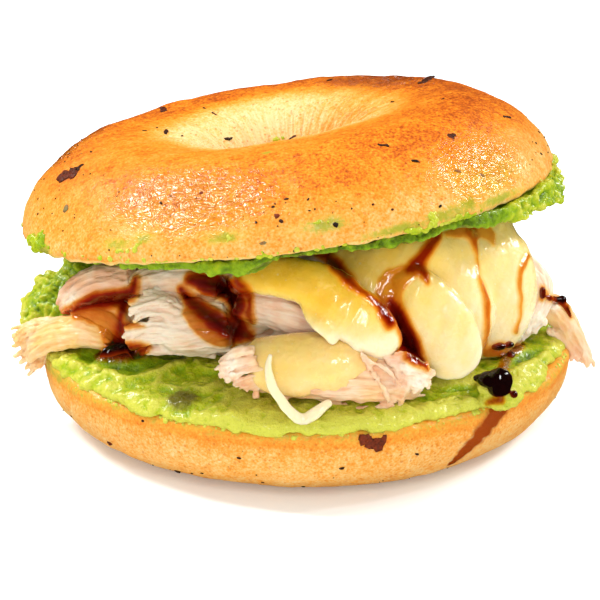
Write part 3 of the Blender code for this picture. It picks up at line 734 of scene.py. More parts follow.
class Bread:
    """One half's fine surface in its own frame, with each point's angle and share up the side."""

    def __init__(self, loop, outline_waves, height_waves=()):
        profile, arc = even_loop(loop, BREAD_ACROSS)
        self.angle = np.repeat(2 * math.pi * np.arange(BREAD_STEPS) / BREAD_STEPS, BREAD_ACROSS)
        r, z, self.share = (np.tile(profile[:, k], BREAD_STEPS) for k in range(3))
        grow = 1 + uneven(self.angle, outline_waves)
        rise = 1 + uneven(self.angle, height_waves)
        round_x, round_y = np.cos(self.angle), np.sin(self.angle)
        self.points = np.stack([r * grow * round_x, r * grow * round_y, z * rise], axis=1)
        # A place that turns with the ring: the last number runs along the profile
        along = np.tile(arc, BREAD_STEPS)
        self.round_ring = np.stack([BAGEL_RADIUS * round_x, BAGEL_RADIUS * round_y, along], axis=1)

    def spot(self, degrees, share, radius_degrees, radius_share):
        """A soft round patch on the side, from 0 to 1."""
        near = lobe_at(self.angle, degrees, radius_degrees)
        return near * np.exp(-(((self.share - share) / radius_share) ** 2))

    def spots(self, rows):
        """Patches added up: rows of strength and what spot takes."""
        return sum(strength * self.spot(*patch) for strength, *patch in rows)

    def strongest(self, patches):
        return np.max([self.spot(*patch) for patch in patches], axis=0)

    def curled(self, size, stretch, seed):
        """Places round the ring for a pattern that curls and is stretched along the profile."""
        return warped(self.round_ring, size, CREASE_CURL, seed) * (1.0, 1.0, stretch)

    def edge(self, share, width):
        """1 at the cut edge, falling softly beside it."""
        return np.exp(-(((self.share - share) / width) ** 2))

    def made(self, name, relief, **layers):
        """The piece, with its points moved out by the relief and the layers painted on."""
        thing = new_piece(name, self.points, ring_faces(BREAD_STEPS, BREAD_ACROSS))
        push(thing, relief)
        paint(thing, round_ring=self.round_ring, **layers)
        return thing


# A patch on a half is its degrees and share, with its half widths in degrees and in share. A share runs
# from 0 to 1 from the lid's cut edge to its crest, or from the underside to the lower half's cut edge, and
# on from 1 to 2 down the wall of the lid's hole.
# Where avocado wiped off on the crust
LID_SMEARS = (
    (206, 0.06, 5, 0.12), (211, 0.02, 4, 0.12), (236, 0.17, 5, 0.06), (242, 0.21, 3, 0.06),
    (259, 0.20, 5, 0.06), (278, 0.20, 7, 0.08), (293, 0.05, 7, 0.06), (303, 0.07, 6, 0.08),
    (309, 0.10, 3, 0.08), (318, 0.05, 9, 0.06), (268, 0.96, 2.5, 0.05), (40, 0.08, 9, 0.06),
    (95, 0.06, 12, 0.05), (150, 0.07, 8, 0.07),
)
# The wrinkled patch at the front, and all of them with their strengths
FRONT_WRINKLES = (251, 0.50, 19, 0.26)
LID_WRINKLES = (
    (1.0, *FRONT_WRINKLES), (0.9, 317, 0.30, 14, 0.26), (0.6, 45, 1.0, 35, 0.3), (1.0, 160, 0.6, 26, 0.3),
    (1.0, 80, 0.5, 26, 0.3),
)
# Where the lid is baked browner, or paler, than the rest
LID_BAKED = (
    (0.03, 268, 0.66, 60, 0.35), (0.19, 335, 0.8, 50, 0.35), (0.22, 35, 1.0, 45, 0.4),
    (0.24, 120, 0.85, 65, 0.45), (0.05, 275, 0.45, 25, 0.2), (-0.05, *FRONT_WRINKLES),
    (-0.12, 316, 0.3, 18, 0.25),
)
CREASED_PATCH = (309, 0.18, 17, 0.26)
CREASE_CURL = 1.5
# Bumps in the skin and blotches in its colour: strength, size in millimetres and seed
LID_BUMPS = ((0.42, 15.0, 1), (0.16, 5.0, 2), (0.05, 1.5, 3))
LID_BLOTCHES = ((0.07, 9.0, 21), (0.04, 3.0, 22))
BASE_BUMPS = ((0.30, 13.0, 31), (0.12, 4.5, 32), (0.04, 1.3, 33))
BASE_BLOTCHES = ((0.05, 10.0, 41), (0.025, 3.0, 42))
# The baked tone where the side begins, what it gains up the side, and the tones of the cut faces
LID_TONE, LID_TONE_GAIN, LID_CUT_TONE = 0.29, 0.24, 0.02
BASE_TONE, BASE_CUT_TONE = 0.27, 0.30
BASE_WRINKLE = 0.12
# Where the sauce ran down the lower half
SAUCE_STREAK = (
    (311, 0.99, 3.2, 0.06), (309, 0.94, 3.0, 0.06), (307, 0.88, 2.8, 0.07), (305.5, 0.81, 2.5, 0.07),
    (304, 0.74, 2.2, 0.07), (303, 0.67, 1.8, 0.06), (302, 0.60, 1.2, 0.05),
)


def upper_bread():
    crest = LID_CREST_RADIUS, LID_HEIGHT
    outer = quarter_curve((LID_RADIUS, CRUST_EDGE), crest, LID_FULLNESS, CURVE_STEPS)
    inner = quarter_curve((HOLE_RADIUS, CRUST_EDGE), crest, LID_HOLE_FULLNESS, CURVE_STEPS)
    inner[:, 2] = 2 - inner[:, 2]
    face = np.array([(HOLE_RADIUS + CRUST_EDGE, 0.0, -1.0), (LID_RADIUS - CRUST_EDGE, 0.0, -0.05)])
    bread = Bread(np.vstack([face, outer, inner[-2::-1]]), LID_OUTLINE_WAVES, LID_HEIGHT_WAVES)
    points, angle, share = bread.points, bread.angle, bread.share
    outwards = np.clip((np.hypot(points[:, 0], points[:, 1]) - 44.0) / 8.0, 0, 1)
    downwards = np.clip(1 - points[:, 2] / LID_HEIGHT, 0, None)
    points[:, 2] -= SAG_DEPTH * outwards * downwards * lobe_at(angle, SAG_DIRECTION, SAG_HALF_WIDTH)

    in_hole = ease(share, 1.15, 1.5)
    rim = bread.edge(-0.02, 0.08)
    wrinkle = np.clip(bread.spots(LID_WRINKLES), 0, 1)
    streaks = rough(bread.round_ring * (1.0, 1.0, 0.12), 3.0, 3, 5)
    relief = layered(points, LID_BUMPS) + in_hole * 0.45 * streaks
    relief += 0.42 * ridged(bread.curled(6.0, 0.22, 9), 6.0, 2, 8) * bread.spot(*CREASED_PATCH)
    relief += 0.05 * wrinkle * ridged(bread.curled(4.0, 1.8, 11), 3.2, 2, 12)
    relief += 0.35 * rim * rough(points, 2.6, 2, 6)

    bake = LID_TONE + LID_TONE_GAIN * ease(share, 0.05, 0.6) + bread.spots(LID_BAKED)
    bake = bake * (1 - 0.93 * ease(share, 1.08, 1.42)) + 0.44 * in_hole * lobe_at(angle, 15, 45)
    bake += layered(points, LID_BLOTCHES)
    bake += 0.08 * streaks * (ease(share, 0.85, 1.1) * lobe_at(angle, 30, 60) + 0.6 * in_hole)
    bake = np.where(share < -0.02, LID_CUT_TONE, bake)
    thing = bread.made(
        "upper_bread", relief, bake=bake, wrinkle=0.10 + 0.90 * wrinkle * ease(share, 0.0, 0.15),
        smear=1.05 * bread.strongest(LID_SMEARS) + 0.25 * rim, oil=0.5 * rim, glaze=0.0,
    )
    set_points(thing, moved(points_of(thing), lid_matrix()))
    return thing


def lower_bread():
    below_edge = CUT_HEIGHT - CRUST_EDGE
    underside = BAGEL_RADIUS - BASE_ROUNDING, 0.0
    outer = quarter_curve((BAGEL_RADIUS, below_edge), underside, BASE_FULLNESS, CURVE_STEPS)
    outer[:, 2] = 1 - outer[:, 2]
    hole_edge, hole_foot = (HOLE_RADIUS, below_edge), (BASE_HOLE_RADIUS, 0.0)
    hole = quarter_curve(hole_edge, hole_foot, BASE_HOLE_FULLNESS, BASE_HOLE_STEPS)
    hole[:, 2] = -2.0
    inner, edge = HOLE_RADIUS + CRUST_EDGE, BAGEL_RADIUS - CRUST_EDGE
    face = np.array([(inner, CUT_HEIGHT, 2.0), (edge, CUT_HEIGHT, 1.05)])
    bread = Bread(np.vstack([face, outer, hole[::-1]]), BASE_OUTLINE_WAVES)
    points, share = bread.points, bread.share
    points[:, 0] -= BASE_LEAN * (1 - points[:, 2] / CUT_HEIGHT)

    on_side = share < 1.5
    rim = bread.edge(1.02, 0.06)
    relief = layered(points, BASE_BUMPS) * (ease(share, 0.0, 0.3) * on_side)
    relief += 0.30 * rim * rough(points, 2.2, 2, 34)
    bake = BASE_TONE + 0.10 * ease(share, 0.80, 0.97) + 0.10 * ease(share, 0.25, 0.0)
    bake += layered(points, BASE_BLOTCHES)
    thing = bread.made(
        "lower_bread", relief, bake=np.where(share > 1.02, BASE_CUT_TONE, bake), wrinkle=BASE_WRINKLE,
        smear=0.62 * rim + 0.4 * bread.spot(200, 0.98, 20, 0.05),
        oil=1.1 * ease(share, 0.90, 0.99) * on_side,
        glaze=bread.strongest(SAUCE_STREAK),
    )
    shaped = points_of(thing)
    shaped[:, 2] = np.maximum(shaped[:, 2], 0.0)
    set_points(thing, shaped)
    return thing


# What is placed where the photograph shows it


CAMERA_BACK = Vector((0.0, -math.cos(CAMERA_PITCH), math.sin(CAMERA_PITCH)))
CAMERA_PLACE = CAMERA_TARGET + CAMERA_BACK * CAMERA_DISTANCE
CAMERA_UP = Vector((0.0, math.sin(CAMERA_PITCH), math.cos(CAMERA_PITCH)))
FOCAL_PIXELS = CAMERA_LENS / SENSOR * PHOTO_SIDE
EYE = Vector(np.array(CAMERA_PLACE) / MM - BAGEL_AXIS)
# Farther than any ray has to go
FAR_MM = 1000.0


def ray_through(x, y):
    """The direction from the eye through a pixel of the photograph."""
    across = (x - PHOTO_SIDE / 2) / FOCAL_PIXELS
    up = (PHOTO_SIDE / 2 - y) / FOCAL_PIXELS
    return (Vector((across, 0.0, 0.0)) + CAMERA_UP * up - CAMERA_BACK).normalized()


def seen_at(x, y, depth):
    """The place in millimetres that a pixel shows, at that distance behind the bagel's axis."""
    ray = ray_through(x, y)
    return np.array(EYE + ray * ((depth - EYE.y) / ray.y))


def trees_of(things):
    graph = bpy.context.evaluated_depsgraph_get()
    return [BVHTree.FromObject(thing, graph) for thing in things]


def first_hit(trees, start, direction, reach=FAR_MM):
    """The nearest (place, normal, distance) that a ray meets, or None."""
    hits = [tree.ray_cast(start, direction, reach) for tree in trees]
    hits = [(hit[0], hit[1].normalized(), hit[3]) for hit in hits if hit[0] is not None]
    return min(hits, key=lambda hit: hit[2]) if hits else None


def seen_on(trees, x, y):
    """What a pixel shows: (place, normal, distance), or None."""
    return first_hit(trees, EYE, ray_through(x, y))


def pixels_of(points):
    """Where the camera sees each place."""
    away = points - np.array(EYE)
    depth = -away @ np.array(CAMERA_BACK)
    x = PHOTO_SIDE / 2 + FOCAL_PIXELS * away[:, 0] / depth
    y = PHOTO_SIDE / 2 - FOCAL_PIXELS * (away @ np.array(CAMERA_UP)) / depth
    return x, y


def nearest_distance(trees, points):
    return np.array([min(tree.find_nearest(Vector(point))[3] for tree in trees) for point in points])


# The sauce

# Runs where the photograph shows them: pixels, with the run's width in millimetres at each
SAUCE_RUNS = {
    "wide_start": ((318, 255, 1.8), (329, 259, 3.2), (338, 267, 4.0), (347, 279, 3.4), (358, 289, 1.8),
                   (370, 297, 1.8), (381, 308, 3.0), (389, 322, 3.6)),
    "wide_run": ((390, 301, 2.8), (397, 317, 5.8), (403, 334, 6.6), (410, 348, 6.2), (419, 360, 4.0),
                 (426, 368, 1.8)),
    "amber_fan": ((412, 272, 3.0), (402, 276, 4.6), (392, 284, 6.4), (389, 293, 5.8), (392, 303, 4.6)),
    "upper_run": ((437, 236, 2.8), (430, 246, 3.2), (423, 256, 3.2), (416, 266, 4.2), (408, 271, 2.6)),
    "upper_drop": ((418, 266, 2.8), (423, 275, 2.8), (426, 282, 1.6)),
    "lid_band": ((448, 234, 1.4), (462, 231, 3.4), (476, 229, 4.6), (488, 234, 3.0), (493, 243, 1.0)),
    "thin_run": ((471, 232, 3.0), (473, 242, 1.7), (477, 258, 0.7), (478, 274, 0.8), (484, 291, 1.4),
                 (487, 310, 1.7), (487, 330, 1.6), (484, 349, 1.1)),
    "edge_run": ((527, 257, 1.7), (523, 265, 1.6), (520, 278, 1.3), (521, 300, 0.9), (520, 318, 0.8),
                 (515, 332, 1.3)),
    "right_drop": ((542, 287, 1.2), (543, 292, 1.7), (542, 299, 1.2)),
    "right_drip": ((546, 296, 1.4), (553, 300, 1.7), (561, 301, 2.0), (567, 310, 1.2), (571, 318, 0.8)),
    "left_streak": ((182, 289, 2.8), (191, 301, 4.0), (203, 312, 5.0), (217, 322, 5.6), (232, 330, 5.6),
                    (248, 335, 3.6)),
    "brown_coat": ((189, 314, 3.0), (201, 326, 4.2), (216, 336, 4.2), (232, 341, 2.6)),
    "left_pool": ((190, 279, 3.4), (205, 283, 5.2), (220, 287, 6.2), (232, 293, 5.8), (238, 304, 5.0),
                  (236, 316, 4.4), (242, 326, 4.0)),
    "slice_end": ((238, 282, 2.6), (246, 291, 3.0), (251, 302, 2.2), (249, 313, 2.8), (253, 321, 1.8)),
    "cavity": ((62, 312, 1.4), (76, 308, 3.0), (92, 302, 4.4), (108, 299, 5.0), (124, 297, 4.6),
               (134, 290, 3.2), (137, 279, 2.2)),
    "amber": ((76, 317, 1.6), (90, 316, 3.6), (102, 318, 4.6), (110, 326, 5.4), (113, 336, 5.0)),
    "cavity_side": ((124, 304, 3.0), (120, 318, 2.6), (120, 332, 3.0), (118, 346, 4.2)),
    "pool": ((100, 357, 2.4), (111, 354, 4.6), (124, 352, 5.2), (138, 350, 4.2), (147, 347, 2.0)),
    "fan_gap": ((122, 325, 2.0), (134, 325, 1.6), (144, 326, 0.8)),
    "splatter": ((487, 352, 2.6), (499, 349, 3.6), (512, 350, 3.0), (523, 346, 1.6)),
    "splatter_side": ((506, 356, 2.6), (504, 366, 2.8), (500, 376, 2.4), (490, 380, 3.0), (478, 381, 1.2)),
    "below_drop": ((500, 400, 2.6), (488, 403, 1.6)),
    "front_crumb": ((232, 343, 1.2), (240, 340, 1.0)),
}
# Runs at the back, which the photograph doesn't show: degrees round the axis, and height and width
BACK_RUNS = {
    "back_fold_run": ((64, 40, 2.4), (67, 36, 3.2), (69, 31, 2.6), (70, 27, 1.6)),
    "back_fold_drip": ((76, 41, 1.6), (76, 36, 1.2), (75, 32, 1.5)),
    "back_run": ((96, 38, 2.6), (101, 34, 4.2), (108, 31, 4.8), (114, 27, 3.4), (116, 23, 2.2)),
    "back_streak": ((150, 37, 2.2), (154, 33, 3.4), (157, 28, 3.0), (158, 24, 1.8)),
}
# How deep a thin, see-through run can look, in millimetres; the others have no limit
THIN_RUNS = {
    "lid_band": 0.32, "thin_run": 0.6, "edge_run": 0.5, "brown_coat": 0.5, "amber": 0.42, "amber_fan": 0.32,
    "splatter": 0.75, "splatter_side": 0.6, "below_drop": 0.9, "slice_end": 1.0, "upper_run": 1.2,
}
# Runs that stand up as a glossy bead: half their height in millimetres
SAUCE_BEADS = {"pool": 0.8, "right_drip": 0.7, "right_drop": 0.6}
# Drops: pixel and radii in millimetres
SAUCE_DROPS = (
    (499, 386, (2.7, 2.4, 2.5)), (499, 392, (2.3, 2.0, 1.7)), (490, 383, (2.6, 2.1, 1.6)),
    (482, 380, (1.8, 1.4, 0.8)), (514, 396, (0.8, 0.8, 0.8)), (562, 301, (1.0, 1.0, 0.8)),
    (498, 348, (1.6, 1.2, 0.8)), (508, 346, (1.3, 1.0, 0.7)), (511, 356, (0.9, 1.2, 0.6)),
)
SAUCE_VOXEL = 0.2
# Where a drop's middle lies above the surface, as a share of its height
DROP_LIFT = 0.45
# The depth of sauce, in millimetres, at which it looks as dark as it gets
DARKEST_AT = 1.1
POUR_LEAST, POUR_MOST = -2.0, 3.0
# How far the sauce stands out of what it wets, and how uneven it is, in millimetres
POUR_RELIEF, POUR_UNEVEN = 0.34, 0.16
# How far behind or before a run the sauce still wets what the camera sees there, in millimetres
POUR_REACH = 5.5
# Runs that meet flow into each other over about this depth, in millimetres
POUR_MERGING = 0.35
PIXELS_A_STEP = 5.0
MM_A_PIXEL = 0.216
BACK_RUN_STEPS = 12
# Outside everything, seen from the bagel's axis
OUTSIDE_MM = 80.0


def places_seen(run, trees):
    """The run's places on what carries them, close together: (x, y, z, half width, pixel x, pixel y)."""
    run = np.asarray(run, float)
    steps = max(3, int(length_of(run[:, :2]) / PIXELS_A_STEP))
    places = []
    for (x, y), width in zip(smooth_path(run[:, :2], steps), read_along(run[:, 2], steps)):
        hit = seen_on(trees, x, y)
        if hit:
            places.append((*hit[0], width / 2, x, y))
    return np.array(places)


def places_round(run, trees):
    """The places of a run at the back on what carries it: (x, y, z, half width)."""
    places = []
    for degrees, height, width in zip(*(read_along(column, BACK_RUN_STEPS) for column in zip(*run))):
        out = Vector((math.cos(math.radians(degrees)), math.sin(math.radians(degrees)), 0.0))
        hit = first_hit(trees, out * OUTSIDE_MM + UP_VECTOR * height, -out)
        if hit:
            places.append((*hit[0], width / 2))
    return np.array(places)


def within(points, starts, ends, halves):
    """How far inside a run each point lies, from its segments and the half widths at their ends."""
    depth = np.full(len(points), -np.inf)
    for start, end, (half, next_half) in zip(starts, ends, halves):
        along = end - start
        share = np.clip((points - start) @ along / (along @ along + 1e-9), 0.0, 1.0)
        gap = np.linalg.norm(points - start - share[:, None] * along, axis=1)
        depth = np.maximum(depth, half + share * (next_half - half) - gap)
    return depth


def within_line(points, line):
    return within(points, line[:-1, :3], line[1:, :3], zip(line[:-1, 3], line[1:, 3]))


def pour_depth(points, lines):
    """How far inside the sauce's edge each point lies, as the camera sees it; below 0 outside."""
    total = np.full(len(points), math.exp(POUR_LEAST / POUR_MERGING))
    for name, line in lines.items():
        reach = line[:, 3].max() + POUR_REACH
        low, high = line[:, :3].min(axis=0) - reach, line[:, :3].max(axis=0) + reach
        near = np.flatnonzero(np.all((points > low) & (points < high), axis=1))
        if not len(near):
            continue
        bent = warped(points[near], 3.0, 0.3, 81)
        inside = within_line(bent, line)
        if name in SAUCE_RUNS:
            seen, drawn = np.stack(pixels_of(bent), axis=1) * MM_A_PIXEL, line[:, 4:] * MM_A_PIXEL
            drawn_inside = within(seen, drawn[:-1], drawn[1:], zip(line[:-1, 3], line[1:, 3]))
            inside = np.minimum(drawn_inside, inside + POUR_REACH - line[:, 3].max())
        inside = np.clip(inside, POUR_LEAST, THIN_RUNS.get(name, POUR_MOST))
        total[near] += np.exp(inside / POUR_MERGING)
    return np.minimum(POUR_MERGING * np.log(total), POUR_MOST)


def pour_over(thing, lines):
    """Sauce on a finished piece: it fills the hollows and stands a little proud."""
    depth = pour_depth(points_of(thing), lines)
    wet = ease(depth, 0.0, 0.9)[:, None]
    if wet.any():
        set_points(thing, points_of(thing) * (1 - wet) + smoothed_points(thing, 16) * wet)
        uneven_top = POUR_UNEVEN * wet[:, 0] * rough(points_of(thing), 2.8, 2, 83)
        push(thing, POUR_RELIEF * ease(depth, -0.05, 0.6) + uneven_top)
    paint(thing, pour=depth)


def bead(line, height):
    """A rounded, glossy run of sauce along the line, half sunk in what carries it."""
    line = np.asarray(line, float)
    steps = max(10, int(length_of(line[:, :3]) / 0.5))
    curve = smooth_path(line[:, :3], steps)
    soften(curve, 12)
    half = 0.85 * read_along(line[:, 3], steps)
    ends = np.minimum(1, 0.35 + np.minimum(range(steps), range(steps)[::-1]) / (0.15 * steps))
    away = np.array(EYE) - curve.mean(axis=0)
    away /= np.linalg.norm(away)
    return tube(curve + 0.1 * height * away, half * ends, height * ends, away, 12)


def drop(x, y, radii, trees):
    """A round drop on the surface seen at a pixel."""
    hit = seen_on(trees, x, y)
    return round_body(np.array(hit[0]) + DROP_LIFT * radii[2] * UP, UP, radii, (0, -1, 0), 0.25, 7, 14)


def sauce(lines, trees):
    shapes = [bead(lines[name], height) for name, height in SAUCE_BEADS.items()]
    shapes += [drop(x, y, radii, trees) for x, y, radii in SAUCE_DROPS]
    thing = joined("dark_sauce", shapes)
    reskin(thing, SAUCE_VOXEL, 6)
    points = points_of(thing)
    push(thing, 0.05 * rough(points, 2.2, 2, 82))
    paint(thing, thick=np.clip(nearest_distance(trees, points) / DARKEST_AT, 0, 1))
    return thing


# The chicken


CAMERA_SIDE = (0.0, -0.8, 0.6)


class Pulled:
    """A pulled piece: its spine and section as the solid has them, and how its fibres look."""

    def __init__(self, spine, widths, depths, facing, ends=(0.5, 0.5), grain=2.0, golden=0.1, rosy=0.2,
                 white=0.0, strands=(), begins=0.0):
        self.spine, self.widths, self.depths, self.facing = spine, widths, depths, facing
        # How far the fibres reach past both ends, and how wide they are, in millimetres
        self.ends, self.grain = ends, grain
        self.golden, self.rosy, self.white = golden, rosy, white
        self.strands = strands
        # The share of the spine where the massive part begins; only single strands reach further
        self.begins = begins


# A strand is its radius in millimetres, its distance behind the bagel's axis, and pixels from tip to root
LEFT_STRIP_STRANDS = (
    (0.9, -17.0, ((13, 333), (28, 326), (50, 321), (76, 320), (100, 324))),
    (1.0, -16.5, ((11, 341), (28, 333), (52, 328), (78, 329), (102, 333))),
    (1.0, -16.5, ((14, 350), (30, 342), (54, 336), (78, 338), (102, 343))),
    (1.0, -16.5, ((17, 360), (32, 350), (52, 344), (76, 346), (100, 350))),
    (0.9, -16.5, ((25, 374), (36, 362), (50, 353), (70, 349))),
    (0.7, -17.0, ((36, 368), (46, 358), (60, 351), (84, 348))),
    (0.6, -18.0, ((20, 337), (38, 327), (62, 321), (86, 320))),
)
MID_LEFT_STRANDS = (
    (1.2, -32.0, ((124, 312), (140, 304), (158, 301), (180, 311), (205, 329))),
    (1.0, -32.5, ((129, 319), (146, 312), (166, 313), (188, 324), (212, 341))),
    (1.0, -31.0, ((137, 299), (152, 295), (170, 300), (190, 314), (212, 334))),
    (0.8, -30.0, ((149, 290), (165, 290), (182, 300), (200, 318))),
    (0.8, -31.5, ((132, 306), (146, 300), (162, 298), (180, 305))),
    (1.3, -33.0, ((119, 336), (136, 330), (158, 327), (184, 332), (212, 344))),
    (1.2, -33.0, ((121, 343), (138, 340), (160, 338), (184, 341), (212, 348))),
    (1.1, -32.5, ((134, 349), (152, 350), (172, 350), (196, 352), (216, 354))),
    (0.8, -32.5, ((143, 325), (158, 319), (176, 321), (196, 331), (216, 343))),
)
FRONT_STRANDS = (
    (0.8, -47.5, ((219, 365), (228, 357), (240, 351), (254, 350))),
    (0.9, -48.0, ((216, 374), (226, 367), (240, 361), (256, 360))),
    (0.9, -48.3, ((221, 381), (234, 374), (248, 368), (264, 368))),
    (0.8, -48.5, ((232, 385), (244, 380), (258, 376), (272, 376))),
    (0.7, -48.5, ((241, 391), (250, 386), (262, 382), (276, 382))),
    (0.5, -48.5, ((257, 402), (256, 392), (261, 384), (270, 378))),
    (0.8, -49.0, ((276, 398), (290, 393), (306, 393), (322, 398), (340, 403))),
    (0.9, -49.3, ((328, 406), (346, 409), (362, 411), (378, 409), (392, 403))),
    (0.4, -50.8, ((361, 350), (365, 360), (373, 372), (383, 387), (389, 402))),
    (0.35, -50.8, ((364, 360), (377, 364), (391, 373), (402, 388))),
    (0.8, -49.2, ((382, 410), (391, 398), (398, 384), (396, 368), (386, 356))),
    (0.8, -49.0, ((396, 405), (404, 393), (408, 378), (404, 366), (392, 356))),
    (0.8, -48.8, ((411, 395), (415, 385), (414, 374), (406, 364), (394, 356))),
    (0.9, -48.5, ((424, 388), (425, 380), (420, 371), (410, 362), (398, 355))),
    (1.0, -48.0, ((434, 378), (426, 371), (416, 364), (404, 357))),
)
RIGHT_STRIP_STRANDS = (
    (0.9, -13.5, ((591, 368), (585, 352), (578, 336), (568, 320), (556, 308))),
    (0.9, -13.0, ((583, 366), (577, 350), (568, 336), (556, 324), (544, 316))),
    (0.8, -13.5, ((574, 362), (572, 350), (562, 340), (548, 330))),
    (0.8, -15.0, ((566, 306), (556, 300), (546, 298), (536, 300))),
)
RIGHT_CHUNK_STRANDS = (
    (0.9, -20.5, ((500, 344), (512, 335), (522, 326), (536, 317))),
    (0.9, -20.5, ((508, 346), (520, 338), (532, 329), (546, 318))),
    (0.8, -18.5, ((526, 264), (534, 274), (540, 288), (543, 304))),
    (0.8, -20.0, ((520, 268), (527, 282), (531, 300), (530, 318))),
)
# Loose white crumbs on a piece: pixel, half widths of the patch in pixels, how many, and their radius in
# millimetres
CRUMBS = {
    "chicken_front": (((414, 367), (15, 7), 46, 0.5), ((420, 382), (9, 7), 20, 0.45),
                      ((232, 366), (10, 12), 14, 0.45)),
    "chicken_right_chunk": (((530, 322), (17, 9), 60, 0.62), ((514, 336), (9, 7), 22, 0.6)),
    "chicken_upper_left": (((70, 300), (8, 8), 12, 0.5),),
    "chicken_right_strip": (((552, 306), (9, 5), 16, 0.55),),
}
CHICKEN = {
    "chicken_left_strip": Pulled(
        [(-39.5, -25, 22.5), (-46, -22.5, 23), (-52, -19.5, 21), (-56, -17, 18.5), (-58.5, -15.5, 16.2)],
        (5.0, 6.8, 6.8, 7.0, 7.4), (3.4, 4.4, 4.0, 3.0, 2.0), (-0.25, -0.75, 0.6),
        grain=1.1, golden=0.9, rosy=0.1, strands=LEFT_STRIP_STRANDS,
    ),
    "chicken_upper_left": Pulled(
        [(-49.5, -15, 25.5), (-46, -18, 29.5), (-40.5, -21, 33), (-34, -23, 34.5)],
        (3.5, 6.5, 8.5, 8.0), (3.5, 6.5, 8.0, 7.0), (-0.4, -0.8, 0.4),
        ends=(1.0, 0.5), grain=1.9, golden=0.35, rosy=0.75,
    ),
    "chicken_sauced_left": Pulled(
        [(-47, -18, 25.5), (-42.5, -20.5, 27), (-38, -22.5, 26), (-35.5, -24, 22.5)],
        (5.0, 6.5, 7.5, 5.5), (4.0, 6.0, 6.0, 4.5), (-0.3, -0.9, 0.3), grain=1.6, golden=0.6, rosy=0.3,
    ),
    "chicken_mid_left": Pulled(
        [(-33.5, -28, 26.5), (-30, -29, 27), (-24, -31, 28), (-15, -32, 29)],
        (5.5, 8.5, 12.0, 12.0), (3.5, 6.0, 8.0, 7.5), (-0.1, -0.85, 0.5),
        ends=(1.5, 0.5), grain=1.3, rosy=0.6, white=0.40, strands=MID_LEFT_STRANDS, begins=0.36,
    ),
    "chicken_under_lid": Pulled(
        [(-35, -23.5, 33), (-29, -26.5, 35.5), (-23, -28.5, 36.5), (-17, -30, 36)],
        (4.5, 6.0, 6.5, 5.5), (5.0, 7.0, 7.0, 6.0), (0.0, -0.9, 0.4),
        ends=(1.5, 0.5), grain=1.4, golden=0.2, rosy=0.5,
    ),
    "chicken_centre": Pulled(
        [(-13, -33, 33.5), (-7, -35.5, 33.5), (-1, -38, 32.5), (5, -38.5, 31.5)],
        (6.0, 8.0, 8.0, 6.0), (5.0, 7.5, 7.5, 6.0), (0.0, -0.9, 0.4),
        ends=(1.0, 0.5), grain=1.6, golden=0.0, rosy=0.5, white=0.1,
    ),
    "chicken_front": Pulled(
        [(-14.5, -41.5, 22.5), (-7.5, -44.5, 25), (3, -46.5, 25.5), (13, -46, 25), (22, -42.5, 22)],
        (6.0, 10.5, 12.5, 13.0, 8.5), (4.0, 8.0, 8.8, 8.2, 5.0), CAMERA_SIDE,
        grain=1.7, golden=0.5, rosy=0.65, white=0.10, strands=FRONT_STRANDS, begins=0.10,
    ),
    "chicken_right_chunk": Pulled(
        [(43, -15.5, 35), (45.5, -17, 30.5), (44.5, -18.5, 26), (40.5, -21, 22)],
        (6.0, 9.0, 8.5, 5.5), (8.0, 10.0, 9.0, 5.0), (0.55, -0.75, 0.3),
        ends=(0.5, 1.0), grain=1.5, golden=0.0, rosy=0.25, white=0.35, strands=RIGHT_CHUNK_STRANDS,
    ),
    "chicken_right_strip": Pulled(
        [(47.5, -15, 26.5), (51, -14, 24.5), (54, -12.5, 20.5), (56.5, -11.5, 16), (58, -10.5, 12.5)],
        (5.0, 6.0, 5.0, 4.0, 3.0), (4.0, 4.8, 4.0, 3.0, 2.2), (0.5, -0.7, 0.5),
        ends=(0.5, 1.0), grain=1.2, golden=0.5, rosy=0.4, strands=RIGHT_STRIP_STRANDS,
    ),
    "chicken_back_strip": Pulled(
        [(-31, 36, 25.5), (-20, 44, 28), (-7, 48, 27), (6, 48.5, 24)],
        (6.0, 9.5, 10.0, 7.0), (4.5, 7.5, 8.0, 5.0), (-0.2, 0.85, 0.4),
        ends=(2.5, 2.5), golden=0.2, rosy=0.3,
    ),
}
CHICKEN_VOXEL = 0.24
SPINE_STEPS, FIBRE_STEPS, STRAND_STEPS = 40, 18, 24
CORE_SIDES, FIBRE_SIDES, STRAND_SIDES = 16, 8, 7
# The core's width, as a share of the piece's
CORE_SHARE = 0.93
# Two layers of fibres: how densely they lie, how much of the spine they take, and how thick they are
FIBRE_LAYERS = ((1.4, 0.9, 1.0), (1.0, 0.4, 0.7))
FEWEST_FIBRES = 5
FIBRE_FLATNESS = 0.62
FIBRES_A_STRAND = 5
# How far apart a strand's fibres lie, and how thick they are, from its tip to its root
STRAND_SPREAD = ((0, 0.3, 1), (0.95, 0.6, 0.5))
STRAND_THICKNESS = ((0, 0.12, 1), (0.6, 1.0, 1.0))
STRAND_WAVER_MM = 0.10
STRAND_FLATNESS = 0.7


